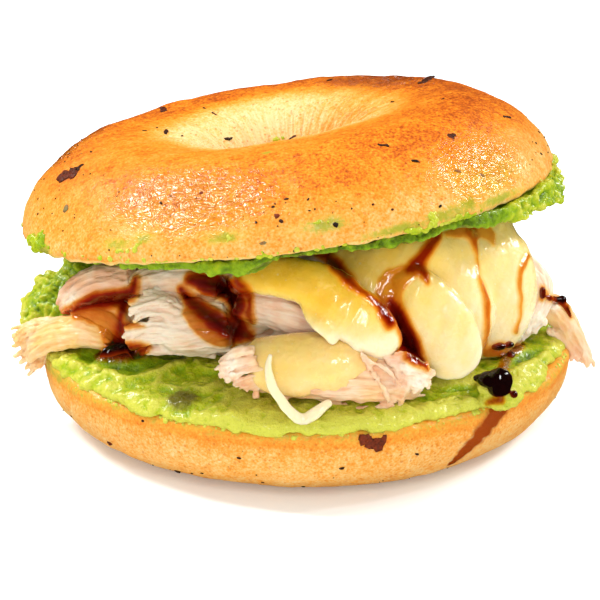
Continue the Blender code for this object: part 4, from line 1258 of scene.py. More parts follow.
def fibres_of(piece, draw):
    """A pulled piece's shapes: a core and the flat overlapping fibres that lie along it."""
    steps = SPINE_STEPS
    curve = smooth_path(piece.spine, steps)
    half_width, half_depth = read_along(piece.widths, steps) / 2, read_along(piece.depths, steps) / 2
    tangents, side, outward = frames_along(curve, piece.facing)
    length = length_of(curve)
    core = slice(max(1, int((piece.begins + 0.1) * steps)) if piece.begins else 1, -1)
    core_width, core_depth = CORE_SHARE * half_width[core], CORE_SHARE * half_depth[core]
    shapes = [tube(curve[core], core_width, core_depth, piece.facing, CORE_SIDES)]
    around_mm = math.pi * (half_width.mean() + half_depth.mean())
    earliest = piece.begins or -piece.ends[0] / length
    for density, span, share in FIBRE_LAYERS:
        count = around_mm / piece.grain * density
        for k in range(max(FEWEST_FIBRES, int(count))):
            angle = 2 * math.pi * (k + draw.uniform(-0.4, 0.4)) / count
            extent = (1 - piece.begins) * span * draw.uniform(0.6, 1.2)
            begin = draw.uniform(earliest, 1 - extent)
            stop = min(begin + extent, 1 + draw.uniform(0.2, 1.0) * piece.ends[1] / length)
            place = np.linspace(begin, stop, FIBRE_STEPS)
            inside = np.clip(place, 0, 1)
            at = (inside * (steps - 1)).round().astype(int)
            turn = angle + draw.uniform(-0.5, 0.5) * (place - 0.5) + 0.12 * np.sin(6 * place + k)
            lift = draw.uniform(0.84, 0.95)
            path = curve[at] + tangents[at] * ((place - inside) * length)[:, None]
            path = path + side[at] * (np.cos(turn) * half_width[at] * lift)[:, None]
            path = path + outward[at] * (np.sin(turn) * half_depth[at] * lift)[:, None]
            soften(path, 2)
            away = math.cos(angle) * side[steps // 2] + math.sin(angle) * outward[steps // 2]
            radius = 0.5 * piece.grain * share * draw.uniform(0.8, 1.25)
            across = radius * np.sin(math.pi * np.linspace(0.08, 0.92, FIBRE_STEPS)) ** 0.5
            shapes.append(tube(path, across, FIBRE_FLATNESS * across, away, FIBRE_SIDES))
    return shapes


def strand(radius, depth, pixels, draw):
    """One strand from its torn tip to its root: fibres that part a little at the tip and end unevenly."""
    knots = [seen_at(x, y, depth + 0.5 * math.sin(1.7 * k)) for k, (x, y) in enumerate(pixels)]
    curve = smooth_path(knots, STRAND_STEPS)
    waver = [[draw.uniform(-1, 1) for _ in range(3)] for _ in range(STRAND_STEPS)]
    curve += STRAND_WAVER_MM * np.array(waver)
    soften(curve, 1)
    _, side, outward = frames_along(curve, CAMERA_SIDE)
    along = np.linspace(0, 1, STRAND_STEPS)
    apart = radius * np.interp(along, *STRAND_SPREAD)
    shapes = []
    for k in range(FIBRES_A_STRAND):
        angle = 2 * math.pi * (k + draw.uniform(-0.3, 0.3)) / FIBRES_A_STRAND
        path = curve + side * (math.cos(angle) * apart)[:, None]
        path = path + outward * (STRAND_FLATNESS * math.sin(angle) * apart)[:, None]
        thick = radius * draw.uniform(0.40, 0.58) * np.interp(along, *STRAND_THICKNESS)
        shed = draw.randrange(0, 5)
        shapes.append(tube(path[shed:], thick[shed:], 0.85 * thick[shed:], CAMERA_SIDE, STRAND_SIDES))
    return shapes


# Any direction that isn't along the surface's normal
LUMP_FACING = (0.3, 0.2, 0.9)
# A crumb's height as a share of its radius
CRUMB_HEIGHT = 0.75


def lump(hit, radius, flatness):
    """A low round heap where a ray met a surface."""
    place, normal, _ = hit
    facing = np.cross(normal, LUMP_FACING)
    return round_body(place, normal, (radius, radius, flatness * radius), facing, 0.3, 6, 8)


def lumps_seen(patch, trees, draw):
    """Lumps scattered over a patch given by a pixel, half widths in pixels, how many, and a radius."""
    (x, y), (across, down), count, radius = patch
    shapes = []
    for _ in range(count):
        turn, reach = draw.uniform(0, 2 * math.pi), math.sqrt(draw.random())
        hit = seen_on(trees, x + across * reach * math.cos(turn), y + down * reach * math.sin(turn))
        size = radius * draw.uniform(0.55, 1.3)
        if hit:
            shapes.append(lump(hit, size, CRUMB_HEIGHT))
    return shapes


# The grain's pattern is read at this share of the way along the fibres, so that it is long and thin
GRAIN_STRETCH, HEAP_GRAIN_STRETCH = 0.21, 0.12
GRAIN_STEPS = 60
# Grooves between the fibres and bumps on them: depth in millimetres and size
FIBRE_GROOVES, FIBRE_GROOVE_SIZE = 0.19, 1.1
HEAP_GROOVES, HEAP_GROOVE_SIZE = 0.26, 1.2
FIBRE_BUMPS = 0.25
# Brings the surface back to where the solid has it
FIBRES_INWARDS = 0.05
# How far painted light lightens the meat on its ridges, and painted shade darkens it in its grooves
GROOVE_SHADE_LIMITS = (-0.12, 0.35)


def fibre_places(points, spine, facing):
    """Places whose last number runs along the fibres, for grain that follows them."""
    curve = smooth_path(spine, GRAIN_STEPS)
    nearest = np.argmin(((points[:, None] - curve[None]) ** 2).sum(axis=2), axis=1)
    away = points - curve[nearest]
    along, across, deep = (np.einsum("ij,ij->i", away, way[nearest]) for way in frames_along(curve, facing))
    reach = np.linalg.norm(np.diff(curve, axis=0), axis=1).cumsum()
    along = np.concatenate([[0], reach])[nearest] + along
    return np.stack([across, deep, GRAIN_STRETCH * along], axis=1)


def paint_chicken(thing, places, golden, rosy, white):
    points = points_of(thing)
    # Besides the meat's own golden, rosy and white tones, painted shade for the grooves and painted light
    # for the ridges
    paint(
        thing, fibre_place=places, hollow=np.clip(0.9 * hollowness(thing, 10), *GROOVE_SHADE_LIMITS),
        golden=np.clip(golden + 0.35 * rough(points, 6.0, 2, 53), 0, 1),
        rosy=np.clip(rosy - 0.6 * white + 0.30 * rough(points, 5.0, 2, 56), 0, 1),
        white=np.clip(white + 0.35 * rough(points, 4.0, 2, 57), 0, 1),
    )


def pulled_chicken(node):
    piece, crumbs = CHICKEN[node], CRUMBS.get(node, ())
    draw = random.Random(node)
    shapes = fibres_of(piece, draw)
    for row in piece.strands:
        shapes += strand(*row, draw)
    bare = joined("bare", shapes)
    trees = trees_of([bare])
    for patch in crumbs:
        shapes += lumps_seen(patch, trees, draw)
    bpy.data.objects.remove(bare)
    thing = joined(node.replace("chicken", "pulled"), shapes)
    reskin(thing, CHICKEN_VOXEL, 2)
    points = points_of(thing)
    places = fibre_places(points, piece.spine, piece.facing)
    grooves = FIBRE_GROOVES * ridged(places, FIBRE_GROOVE_SIZE, 2, 51)
    push(thing, grooves + FIBRE_BUMPS * rough(points, 3.2, 2, 52) - FIBRES_INWARDS)
    white = np.full(len(points), piece.white)
    x, y = pixels_of(points)
    for (u, v), (across, down), _, _ in crumbs:
        white += 0.8 * np.exp(-(((x - u) / across) ** 2) - ((y - v) / down) ** 2)
    paint_chicken(thing, places, piece.golden, piece.rosy, np.minimum(white, 1))
    return thing


HEAP_CENTRE = (1.0, 5.0)
HEAP_BASE = CUT_HEIGHT + 2.0
HEAP_RADIUS = 41.0
HEAP_STRETCH_TO_BACK = 0.1
HEAP_BUNDLES = 84
HEAP_VOXEL = 0.36
# How far under the lid's cut face the filling ends
HEAP_BELOW_LID = 5.5
# Steps round the heap's height that never line up
GOLDEN_STEP = 0.618
# A bundle: places along it, widths as shares of its widest, depths, and how far its ends bend inwards
BUNDLE_PLACES = (-1.0, -0.3, 0.4, 1.0)
BUNDLE_WIDTHS = (0.6, 1.0, 1.0, 0.6)
BUNDLE_DEPTHS = (2.5, 3.8, 3.8, 2.5)
BUNDLE_BEND = 1.8
BUNDLE_GRAIN = 1.3
HEAP_LOOKS = {"golden": 0.2, "rosy": 0.4, "white": 0.1}


def lid_underside(x, y, below):
    """Height of a plane that far under the lid's cut face, at a place in plan."""
    matrix = lid_matrix()
    normal = (matrix.to_3x3() @ UP_VECTOR).normalized()
    centre = Vector(LID_CENTRE) - normal * below
    return centre.z - (normal.x * (x - centre.x) + normal.y * (y - centre.y)) / normal.z


def places_on_heap(points):
    """Places whose last number runs round the heap, as most of its fibres do."""
    bearing = np.arctan2(points[:, 1] - HEAP_CENTRE[1], points[:, 0] - HEAP_CENTRE[0])
    out = np.hypot(points[:, 0], points[:, 1])
    return np.stack([points[:, 2], out, HEAP_GRAIN_STRETCH * bearing * HEAP_RADIUS], axis=1)


def heap_place(bearing, out):
    return HEAP_CENTRE[0] + out * math.cos(bearing), HEAP_CENTRE[1] + out * math.sin(bearing)


def heap_bundle(k, draw):
    """One bundle of fibres on the heap's side."""
    bearing = 2 * math.pi * (k + draw.uniform(-0.4, 0.4)) / HEAP_BUNDLES
    radius = HEAP_RADIUS * (1 + HEAP_STRETCH_TO_BACK * math.sin(bearing)) + draw.uniform(-2.5, 0.8)
    top = lid_underside(*heap_place(bearing, radius), HEAP_BELOW_LID)
    height = HEAP_BASE + 2.0 + (top - HEAP_BASE - 4.0) * ((k * GOLDEN_STEP) % 1.0)
    reach, slope = draw.uniform(5.0, 13.0), draw.uniform(-0.7, 0.7)
    spine = []
    for share in BUNDLE_PLACES:
        inwards = BUNDLE_BEND * share**2 + draw.uniform(-0.6, 0.6)
        rise = max(min(height + slope * reach * share, top + 0.5), HEAP_BASE)
        spine.append((*heap_place(bearing + share * reach / radius, radius - inwards), rise))
    width = draw.uniform(3.2, 6.0)
    ends = (draw.uniform(0.5, 2.0), draw.uniform(0.5, 2.0))
    facing = (math.cos(bearing), math.sin(bearing), 0.3)
    widths = [share * width for share in BUNDLE_WIDTHS]
    return fibres_of(Pulled(spine, widths, BUNDLE_DEPTHS, facing, ends, BUNDLE_GRAIN), draw)


def chicken_heap():
    """The mass between the halves: the solid's own shape, with bundles of fibres lying all round it."""
    draw = random.Random(7)
    shapes = [shape_of(node_copy("chicken_heap", "heap_core"))]
    for k in range(HEAP_BUNDLES):
        shapes += heap_bundle(k, draw)
    thing = joined("pulled_heap", shapes)
    reskin(thing, HEAP_VOXEL, 1)
    points = points_of(thing)
    grooves = HEAP_GROOVES * ridged(places_on_heap(points), HEAP_GROOVE_SIZE, 2, 54)
    push(thing, grooves + FIBRE_BUMPS * rough(points, 3.0, 2, 55) - FIBRES_INWARDS)
    slim(thing)
    paint_chicken(thing, places_on_heap(points_of(thing)), **HEAP_LOOKS)
    return thing


# The mashed avocado


# How far from the axis the lower spread's outer edge comes, in millimetres
LOWER_SPREAD_EDGE = 53.0
LOWER_SPREAD_RIM = 55.3
# Ridges and valleys that the spreading left, as pixels with their half widths in millimetres
SPREAD_RIDGES = (
    ((62, 361, 0.8), (84, 366, 0.9), (108, 373, 1.0), (132, 379, 1.0), (160, 371, 1.1), (186, 361, 1.1),
     (212, 351, 0.9)),
    ((196, 414, 0.8), (212, 418, 1.0), (230, 416, 0.9)),
    ((440, 402, 0.8), (462, 398, 1.0), (482, 404, 0.8)),
    ((512, 372, 0.8), (530, 364, 1.0), (548, 352, 0.8)),
)
SPREAD_VALLEYS = (
    ((78, 355, 1.4), (104, 362, 1.8), (132, 368, 1.9), (158, 360, 2.0), (184, 351, 2.0), (204, 345, 1.4)),
    ((150, 352, 1.5), (175, 347, 1.8)),
    ((424, 396, 1.6), (446, 390, 2.0), (470, 388, 1.8)),
    ((520, 360, 1.4), (540, 350, 1.4)),
)
RIDGE_HEIGHT, VALLEY_DEPTH = 0.65, 0.5
OLIVE_SPOT = (183, 396)
OLIVE_RADIUS = 4.8
# How far the mash hangs over the crust's edge, in millimetres
OVERHANG = 1.2


def spread_outwards(thing):
    """Brings the lower spread out to the crust's edge, more in some places than in others."""
    points = points_of(thing)
    plan = np.hypot(points[:, 0], points[:, 1])
    angle = np.arctan2(points[:, 1], points[:, 0])
    around = np.stack([9 * np.cos(angle), 9 * np.sin(angle), 0 * angle], axis=1)
    rim = LOWER_SPREAD_RIM + 0.7 * rough(around, 1.6, 3, 67)
    low = ease(points[:, 2], CUT_HEIGHT + 7.0, CUT_HEIGHT + 4.0) * ease(plan, 42.0, 50.0)
    points[:, :2] *= (1 + (rim / LOWER_SPREAD_EDGE - 1) * low)[:, None]
    over = ease(np.hypot(points[:, 0], points[:, 1]), 53.5, 56.5)
    points[:, 2] -= OVERHANG * over * low
    set_points(thing, points)


# How much of the upper spread's thickness is left at the lid's edge: degrees round the lid, and the share
UPPER_SPREAD_LEFT = (
    (196, 1.0), (210, 0.5), (236, 0.35), (250, 0.5), (256, 1.0), (262, 1.1), (267, 0.4), (272, 0.2),
    (279, 0.25), (286, 0.5), (300, 0.6), (306, 0.4), (311, 0.7), (316, 1.0),
)
# How far the pressed edge draws back, as a share of its radius
DRAWN_BACK = 0.03
# The curds in the mash: depths of their lumps, and of the grooves between them, in millimetres
SMALL_CURDS, SMALL_GROOVES = 0.26, 0.09
LARGE_CURDS, LARGE_GROOVES = 0.8, 0.55
# Makes up for what the smoothing took off
MASH_OUTWARDS = 0.1


def press_thin(thing):
    """Presses the upper spread thin, and in from the edge, where hardly any of it shows."""
    points = moved(points_of(thing), lid_matrix().inverted())
    degrees = np.degrees(np.arctan2(points[:, 1], points[:, 0])) % 360
    plan = np.hypot(points[:, 0], points[:, 1])
    pressed = (np.interp(degrees, *zip(*UPPER_SPREAD_LEFT)) - 1) * ease(plan, 38.0, 48.0)
    points[:, 2] *= 1 + pressed
    points[:, :2] *= (1 + DRAWN_BACK * pressed * ease(plan, 50.0, 56.0))[:, None]
    set_points(thing, moved(points, lid_matrix()))


def mash(name, node, voxel, ridge_height, lump_height):
    """A spread with its smears, lumps and curds."""
    thing = node_copy(node, name)
    reskin(thing, voxel, 3)
    if node == "avocado_lower":
        spread_outwards(thing)
    else:
        press_thin(thing)
    points = points_of(thing)
    relief = ridge_height * ridged(warped(points, 9.0, 3.5, 61) * (0.7, 1.3, 1.0), 7.0, 2, 62)
    relief += lump_height * rough(warped(points, 3.0, 1.0, 66), 3.2, 2, 63)
    small_curds = SMALL_CURDS * rough(warped(points, 1.6, 0.6, 69), 1.5, 2, 64)
    relief += small_curds - SMALL_GROOVES * ridged(points, 2.1, 1, 60)
    if node == "avocado_lower":
        curdled = ease(points[:, 0], -32.0, -42.0) * ease(points[:, 1], -18.0, -8.0)
    else:
        curdled = ease(points[:, 0], 34.0, 44.0)
    grooves = LARGE_GROOVES * ridged(warped(points, 2.5, 0.8, 71), 2.9, 2, 68)
    relief += curdled * (LARGE_CURDS * rough(points, 4.2, 1, 70) - grooves)
    push(thing, relief + MASH_OUTWARDS)
    slim(thing)
    return thing


def traced(paths, trees):
    return [places_seen([(x, y, 2 * half) for x, y, half in path], trees) for path in paths]


def nearness(points, lines):
    """1 on the lines, falling softly to 0 over about twice their half width."""
    near = np.zeros(len(points))
    for line in lines:
        half = line[:, 3].mean()
        gap = np.maximum(half - within_line(points, line), 0)
        near = np.maximum(near, np.exp(-((gap / half) ** 2)))
    return near


def furrow(thing):
    """Presses the knife's ridges and valleys into the lower mash; returns where the valleys are."""
    trees = trees_of([thing])
    points = points_of(thing)
    ridge, valley = (nearness(points, traced(paths, trees)) for paths in (SPREAD_RIDGES, SPREAD_VALLEYS))
    push(thing, RIDGE_HEIGHT * ridge * (1 - 0.6 * valley) - VALLEY_DEPTH * valley * (1 - ridge))
    return valley * (1 - ridge)


def paint_mash(thing, base_tone, valley=0.0):
    """Tones from yellow to deep green: darker in hollows and valleys, which is painted shade, and paler at
    the crust's edge.
    """
    points = points_of(thing)
    x, z = points[:, 0], points[:, 2]
    plan = np.hypot(x, points[:, 1])
    depth = hollowness(thing, 14)
    # Painted shade: the tone deepens in the hollows and in the knife's valleys
    lush = base_tone + 1.15 * np.clip(depth, -0.3, 0.5) + 0.30 * rough(points, 9.0, 2, 65) + 0.34 * valley
    lush -= 0.25 * ease(x, -25.0, -5.0) * ease(x, 45.0, 30.0) * (z < 30)
    lush += 0.14 * ease(x, -36.0, -44.0) * (z > CUT_HEIGHT + 5)
    # Paler on the upper spread's right-hand cluster, which stands out from under the lid and its painted
    # shade
    lush -= 0.38 * ease(x, 34.0, 42.0) * (z > 30)
    lush -= 0.14 * ease(plan, 50.0, 55.0) * (z < CUT_HEIGHT + 5)
    olive = seen_on(trees_of([thing]), *OLIVE_SPOT)
    away = np.linalg.norm(points - np.array(olive[0]), axis=1) if olive else OLIVE_RADIUS
    paint(thing, lush=lush, bruise=1 - np.clip(away / OLIVE_RADIUS, 0, 1))


# The melted cheese


# Slices and strings as places: pixel, distance behind the bagel's axis, and width, in millimetres
LEFT_SLICE = (
    (234, 288, -33.0, 2.0), (246, 279, -35.5, 5.0), (272, 276, -38.5, 7.4), (304, 281, -41.5, 8.4),
    (332, 297, -44.0, 10.2), (356, 316, -45.8, 10.4), (374, 332, -46.5, 9.4), (389, 348, -46.0, 5.0),
)
LEFT_SLICE_DRIP = (
    (318, 300, -43.6, 7.0), (323, 314, -46.0, 6.4), (328, 326, -47.8, 4.6), (332, 336, -48.6, 3.0),
    (334, 344, -48.8, 1.4),
)
# The tongue that folds over the right slice, and the broad sheet behind it
FOLD = (
    (404, 277, -36.5, 5.5), (416, 290, -38.5, 9.0), (430, 308, -40.0, 11.0), (443, 330, -41.0, 12.5),
    (451, 352, -41.0, 12.0), (450, 371, -40.0, 6.5),
)
# Bodies as the solids have them: spine, widths, depths and the way each one faces
SHEET = (
    ([(6, -31, 40.5), (14, -32.5, 41), (22, -31.5, 42.5), (30, -26, 43)], (7, 10, 11, 10), (6, 8, 9, 8),
     (0.15, -0.9, 0.4)),
    ([(31, -20.5, 44), (34.5, -24, 39), (36, -26, 33), (34.5, -26.5, 27), (32, -27.5, 22.5)],
     (14, 18, 19.5, 17, 11), (8, 9.5, 10, 9, 6), (0.35, -0.85, 0.4)),
    ([(8, -35, 39), (15, -37, 35), (22, -36.5, 30), (26, -34.5, 24)],
     (8, 11, 12, 8), (6, 7, 7, 5), CAMERA_SIDE),
    ([(22, -31, 41), (27, -33, 36), (29, -34, 30), (29, -33, 24)],
     (10, 13, 14, 9), (6, 8, 8, 5), CAMERA_SIDE),
)
BACK_FOLD = (
    ([(13, 38, 40.5), (16.5, 44.5, 38), (18.5, 48, 33), (19, 49, 27.5)],
     (10, 14, 13, 8), (4.5, 5.5, 5.5, 3.5), (0.2, 0.85, 0.4)),
    ([(11, 41, 36), (12, 46, 31), (12, 48.5, 27), (13, 49, 24.5)],
     (4, 5, 4, 2), (3, 3, 3, 2), (0.2, 0.85, 0.4)),
)
# The film's edge on the front piece, as pixels
FRONT_FILM = (
    (238, 352), (241, 343), (252, 336), (284, 329), (320, 329), (352, 335), (386, 344), (402, 351),
    (388, 357), (368, 358), (364, 368), (352, 380), (334, 388), (311, 391), (294, 398), (276, 396),
    (262, 391), (250, 384), (243, 368),
)
FRONT_STRING = (
    (271, 354, -51.0, 1.3), (268, 366, -52.2, 1.6), (270, 379, -52.9, 1.8), (275, 391, -53.3, 1.9),
    (282, 402, -53.6, 2.0), (290, 412, -53.8, 2.1), (298, 418, -53.9, 2.3), (306, 419, -53.8, 2.3),
    (314, 414, -53.5, 2.2), (322, 407, -52.8, 1.9), (330, 402, -51.8, 1.3),
)


# How many places there are along a body of cheese, and round it
CHEESE_STEPS, CHEESE_SIDES = 30, 18
RIBBON_SQUARENESS = 0.75
# How strongly a pulled pattern is stretched, and the way that it runs
PULLED_WAY = np.array([[0.9, 0.0, 0.4], [0.0, 1.0, 0.0], [-0.4, 0.0, 0.9]])
PULLED_STRETCH = (1.6, 1.0, 0.35)
# Slow dents and stretched folds in the cheese, in millimetres
DENTS, STRETCHED_FOLDS = 0.34, 0.26
# How the cheese is made: voxel and smoothing of its skin, and how far it swells, in millimetres
SHEET_MELT = (0.6, 60, 0.9)
LEFT_MELT = (0.32, 18, 0.2)
RIGHT_MELT = (0.36, 20, 0.3)
BACK_MELT = (0.40, 20, 0.4)
STRING_MELT = (0.2, 3, 0.0)
# The film: the skin of the piece under it, its own skin, its ragged edge in pixels, and its thickness
FILM_UNDER, FILM_SKIN = (0.45, 25), (0.26, 6)
FILM_RAGGED = 4.0
FILM_THICKNESS = 1.3
# How pale each piece is, what it gains to the right, and what it gains low down
CHEESE_TONES = {
    "melted_left_slice": (0.24, 0.2, 0.92), "melted_right_slice": (0.46, 0.30, 0.10),
    "melted_back_fold": (0.45, 0.3, 0.0), "melted_front_film": (0.48, 0.0, 0.12),
    "melted_string": (1.05, 0.0, 0.0),
}


def ribbon(path, thickness):
    """A flat run through places given by a pixel, a depth and a width."""
    curve = smooth_path([seen_at(x, y, depth) for x, y, depth, _ in path], CHEESE_STEPS)
    half = read_along([width for *_, width in path], CHEESE_STEPS) / 2
    deep = np.minimum(half * 0.85, thickness / 2)
    return tube(curve, half, deep, CAMERA_SIDE, CHEESE_SIDES, RIBBON_SQUARENESS)


def bodies(rows):
    shapes = []
    for spine, widths, depths, facing in rows:
        across, deep = (read_along(values, CHEESE_STEPS) / 2 for values in (widths, depths))
        shapes.append(tube(smooth_path(spine, CHEESE_STEPS), across, deep, facing, CHEESE_SIDES))
    return shapes


def draped(rows, voxel, smoothing, swell):
    """Bodies melted into one soft sheet."""
    sheet = joined("sheet", bodies(rows))
    reskin(sheet, voxel, smoothing)
    push(sheet, np.full(len(sheet.data.vertices), swell))
    return shape_of(sheet)


def melted(node, shapes, voxel, smoothing, swell):
    """A smooth body of melted cheese with slow dents and a few stretched folds."""
    thing = joined(node.replace("cheese", "melted"), shapes)
    reskin(thing, voxel, smoothing)
    points = points_of(thing)
    pulled = points @ PULLED_WAY * PULLED_STRETCH
    push(thing, swell + DENTS * rough(points, 9.0, 2, 71) + STRETCHED_FOLDS * rough(pulled, 4.5, 2, 72))
    return thing


def depth_inside(x, y, outline):
    """How many pixels inside a closed outline each place lies; below 0 outside."""
    places = np.stack([x, y], axis=1)
    inside, gap = np.zeros(len(x), bool), np.full(len(x), np.inf)
    for start, end in zip(outline, outline[1:] + outline[:1]):
        (x0, y0), (x1, y1) = start, end
        crosses = (y0 > y) != (y1 > y)
        inside ^= crosses & (x < (x1 - x0) * (y - y0) / (y1 - y0 + 1e-9) + x0)
        along = np.subtract(end, start)
        share = np.clip((places - start) @ along / (along @ along), 0, 1)
        gap = np.minimum(gap, np.linalg.norm(places - start - share[:, None] * along, axis=1))
    return np.where(inside, gap, -gap)


def front_film():
    """A thin melt over the front piece: its smoothed skin, which sinks between the fibres at its edge."""
    under = joined("film_under", fibres_of(CHICKEN["chicken_front"], random.Random("chicken_front")))
    reskin(under, *FILM_UNDER)
    points = points_of(under)
    inside = depth_inside(*pixels_of(points), FRONT_FILM) + FILM_RAGGED * rough(points, 3.5, 3, 91)
    kept = (inside > -3) & (normals_of(under)[:, 1] < 0.35)
    push(under, 0.2 + 1.0 * ease(inside, -3, 14))
    points, faces = shape_of(under)
    film = new_piece("melted_front_film", points, [face for face in faces if kept[list(face)].all()])
    apply_modifier(film, "SOLIDIFY", thickness=FILM_THICKNESS, offset=-1.0)
    reskin(film, *FILM_SKIN)
    push(film, 0.10 * rough(points_of(film), 2.4, 2, 93))
    return film


def paint_cheese(thing, pale_base, pale_right, pale_low):
    """Tones from golden to pale, deeper yellow near the lid as painted shade, and on the film the meat that
    shows through it.
    """
    points, normals = points_of(thing), normals_of(thing)
    depth = hollowness(thing, 40)
    pale = pale_base + pale_right * ease(points[:, 0], 10.0, 36.0)
    pale += pale_low * ease(points[:, 2], 40.0, 28.0)
    # Paler on faces that look down; deeper yellow near the lid, which is painted shade under it
    pale += 0.18 * ease(normals[:, 2], 0.0, -0.6) - 0.12 * ease(points[:, 2], 38.0, 44.0)
    pale = pale - 0.5 * np.clip(depth, -0.4, 0.4) + 0.1 * rough(points, 7.0, 2, 73)
    meaty = 0.0
    if thing.name == "melted_front_film":
        x, y = pixels_of(points)
        edge = ease(depth_inside(x, y, FRONT_FILM), 10, -2)
        meaty = np.maximum(0.34 + 0.56 * edge, 0.75 * ease(x, 316, 372))
    paint(thing, pale=pale, meaty=meaty)


def cheeses():
    """The melted pieces by the node that each stands for; the front melt has two."""
    left = [ribbon(LEFT_SLICE, 5.0), ribbon(LEFT_SLICE_DRIP, 2.6)]
    right = [draped(SHEET, *SHEET_MELT), ribbon(FOLD, 5.2)]
    pieces = {
        "cheese_left_slice": [melted("cheese_left_slice", left, *LEFT_MELT)],
        "cheese_right_slice": [melted("cheese_right_slice", right, *RIGHT_MELT)],
        "cheese_back_fold": [melted("cheese_back_fold", bodies(BACK_FOLD), *BACK_MELT)],
    }
    film = front_film()
    string = melted("cheese_string", [ribbon(FRONT_STRING, 1.5)], *STRING_MELT)
    pieces["cheese_front_melt"] = [film, string]
    for things in pieces.values():
        for thing in things:
            paint_cheese(thing, *CHEESE_TONES[thing.name])
    return pieces


# Avocado wiped on the crust


# Patches on the lid: pixel, half widths in pixels, how many lumps and their radius in millimetres
WIPED_PATCHES = (
    ((43, 238), (3, 9), 12, 0.7), ((34, 246), (6, 9), 26, 0.9), ((42, 257), (9, 6), 26, 0.9),
    ((58, 266), (9, 3), 14, 0.7), ((126, 250), (12, 3), 9, 0.45), ((138, 243), (5, 3), 5, 0.4),
    ((228, 238), (7, 4), 4, 0.35), ((322, 224), (11, 4), 6, 0.35), ((392, 240), (14, 4), 18, 0.6),
    ((418, 233), (14, 5), 22, 0.65), ((440, 225), (12, 6), 20, 0.6), ((462, 218), (10, 5), 14, 0.55),
    ((432, 215), (4, 5), 5, 0.5), ((278, 139), (7, 2), 7, 0.5),
)
RIM_LUMPS = {"lid": 420, "base": 520}
RIM_LUMP_HEIGHT = 0.45
# How far inwards a half's edge is looked for
RIM_SEARCH_MM = 60.0
WIPED_VOXEL, WIPED_TONE = 0.22, 0.24


def rim_lumps(part, count, trees, draw):
    """Lumps along a half's cut edge, in clusters."""
    shapes, tilt = [], lid_matrix()
    for k in range(count):
        bearing = 2 * math.pi * (k + draw.random()) / count
        crowded = 0.5 + 0.5 * math.sin(7 * bearing) * math.sin(4 * bearing + 1.0)
        if draw.random() > crowded:
            continue
        if part == "lid":
            height = 0.2 + abs(draw.gauss(0.0, 0.5))
        else:
            height = CUT_HEIGHT - abs(draw.gauss(0.0, 0.35))
        start = Vector((OUTSIDE_MM * math.cos(bearing), OUTSIDE_MM * math.sin(bearing), height))
        inwards = Vector((-math.cos(bearing), -math.sin(bearing), 0.0))
        if part == "lid":
            start, inwards = tilt @ start, tilt.to_3x3() @ inwards
        hit = first_hit(trees, start, inwards, RIM_SEARCH_MM)
        size = 0.22 + 0.5 * draw.random() ** 2
        if hit:
            shapes.append(lump(hit, size, RIM_LUMP_HEIGHT))
    return shapes


def wiped_avocado(lid, base):
    """Small lumps of mash on the crust and all along the edges that it was pressed out of."""
    draw = random.Random(31)
    trees = trees_of([lid, base])
    shapes = []
    for patch in WIPED_PATCHES:
        shapes += lumps_seen(patch, trees[:1], draw)
    for part, count in RIM_LUMPS.items():
        shapes += rim_lumps(part, count, trees, draw)
    thing = joined("wiped_avocado", shapes)
    reskin(thing, WIPED_VOXEL, 1)
    push(thing, 0.10 * rough(points_of(thing), 0.9, 2, 95))
    paint_mash(thing, WIPED_TONE)
    paint(thing, pour=POUR_LEAST)
    return thing


# Flecks and flakes on the crust


# Pixel, length, width and thickness in millimetres, turn in degrees, and kind, where 0 is black,
# 0.5 is red-brown and 1 is a herb
LARGE_FLAKES = (
    (68, 175, 6.0, 3.4, 0.9, 34, 0.34), (75, 170, 3.0, 2.6, 0.9, 60, 0.22),
    (163, 110, 5.0, 1.5, 0.6, 5, 0.3), (166, 132, 3.6, 1.0, 0.5, 5, 0.2),
    (66, 208, 1.8, 2.2, 0.4, 0, 0.95), (426, 80, 6.6, 1.6, 0.7, -8, 0.25),
    (330, 80, 2.4, 0.8, 0.4, 0, 0.15), (383, 145, 2.2, 0.8, 0.4, -10, 0.2),
    (415, 161, 1.9, 0.8, 0.4, -25, 0.1), (452, 136, 2.2, 1.3, 0.4, 10, 0.3),
    (458, 171, 1.8, 0.8, 0.4, -20, 0.8), (482, 175, 1.3, 1.0, 0.3, -45, 0.9),
    (277, 216, 1.6, 1.3, 0.3, 20, 0.45), (281, 221, 1.2, 0.8, 0.3, -30, 0.3),
    (336, 225, 1.3, 1.0, 0.4, -20, 0.05), (225, 139, 3.0, 0.7, 0.4, 0, 0.1),
    (292, 138, 3.2, 0.8, 0.5, 0, 0.3), (204, 108, 1.4, 0.6, 0.3, -10, 0.1),
    (214, 114, 2.0, 0.6, 0.3, -60, 0.15), (182, 136, 1.2, 0.5, 0.3, 0, 0.1),
    (144, 131, 1.4, 0.4, 0.3, 12, 0.1), (157, 128, 0.9, 0.5, 0.3, 0, 0.1),
    (91, 152, 1.4, 0.5, 0.3, 20, 0.1), (201, 193, 1.2, 0.9, 0.3, 0, 0.4),
    (286, 199, 1.4, 0.5, 0.3, 20, 0.15), (263, 243, 1.4, 0.7, 0.3, 10, 0.9),
    (507, 117, 2.2, 0.7, 0.4, -38, 0.2), (541, 154, 1.2, 0.6, 0.3, -70, 0.2),
    (393, 102, 2.2, 0.6, 0.3, 25, 0.1), (443, 99, 1.4, 0.6, 0.3, 10, 0.1),
    (38, 214, 0.7, 0.7, 0.3, 0, 0.05), (273, 207, 1.0, 0.6, 0.3, 0, 0.1),
    (440, 206, 1.0, 0.6, 0.3, 30, 0.1), (372, 441, 5.2, 3.6, 1.4, 25, 0.42),
    (110, 443, 1.8, 1.1, 0.6, -20, 0.3), (178, 471, 1.9, 0.8, 0.5, 0, 0.1),
    (417, 454, 1.2, 0.6, 0.4, 20, 0.1), (342, 468, 1.3, 0.6, 0.4, -10, 0.1),
    (239, 458, 1.1, 0.5, 0.3, 0, 0.2), (503, 396, 1.2, 0.8, 0.4, 30, 0.4),
    (143, 421, 0.8, 0.6, 0.3, 0, 0.1), (202, 473, 0.9, 0.5, 0.3, 0, 0.2),
)
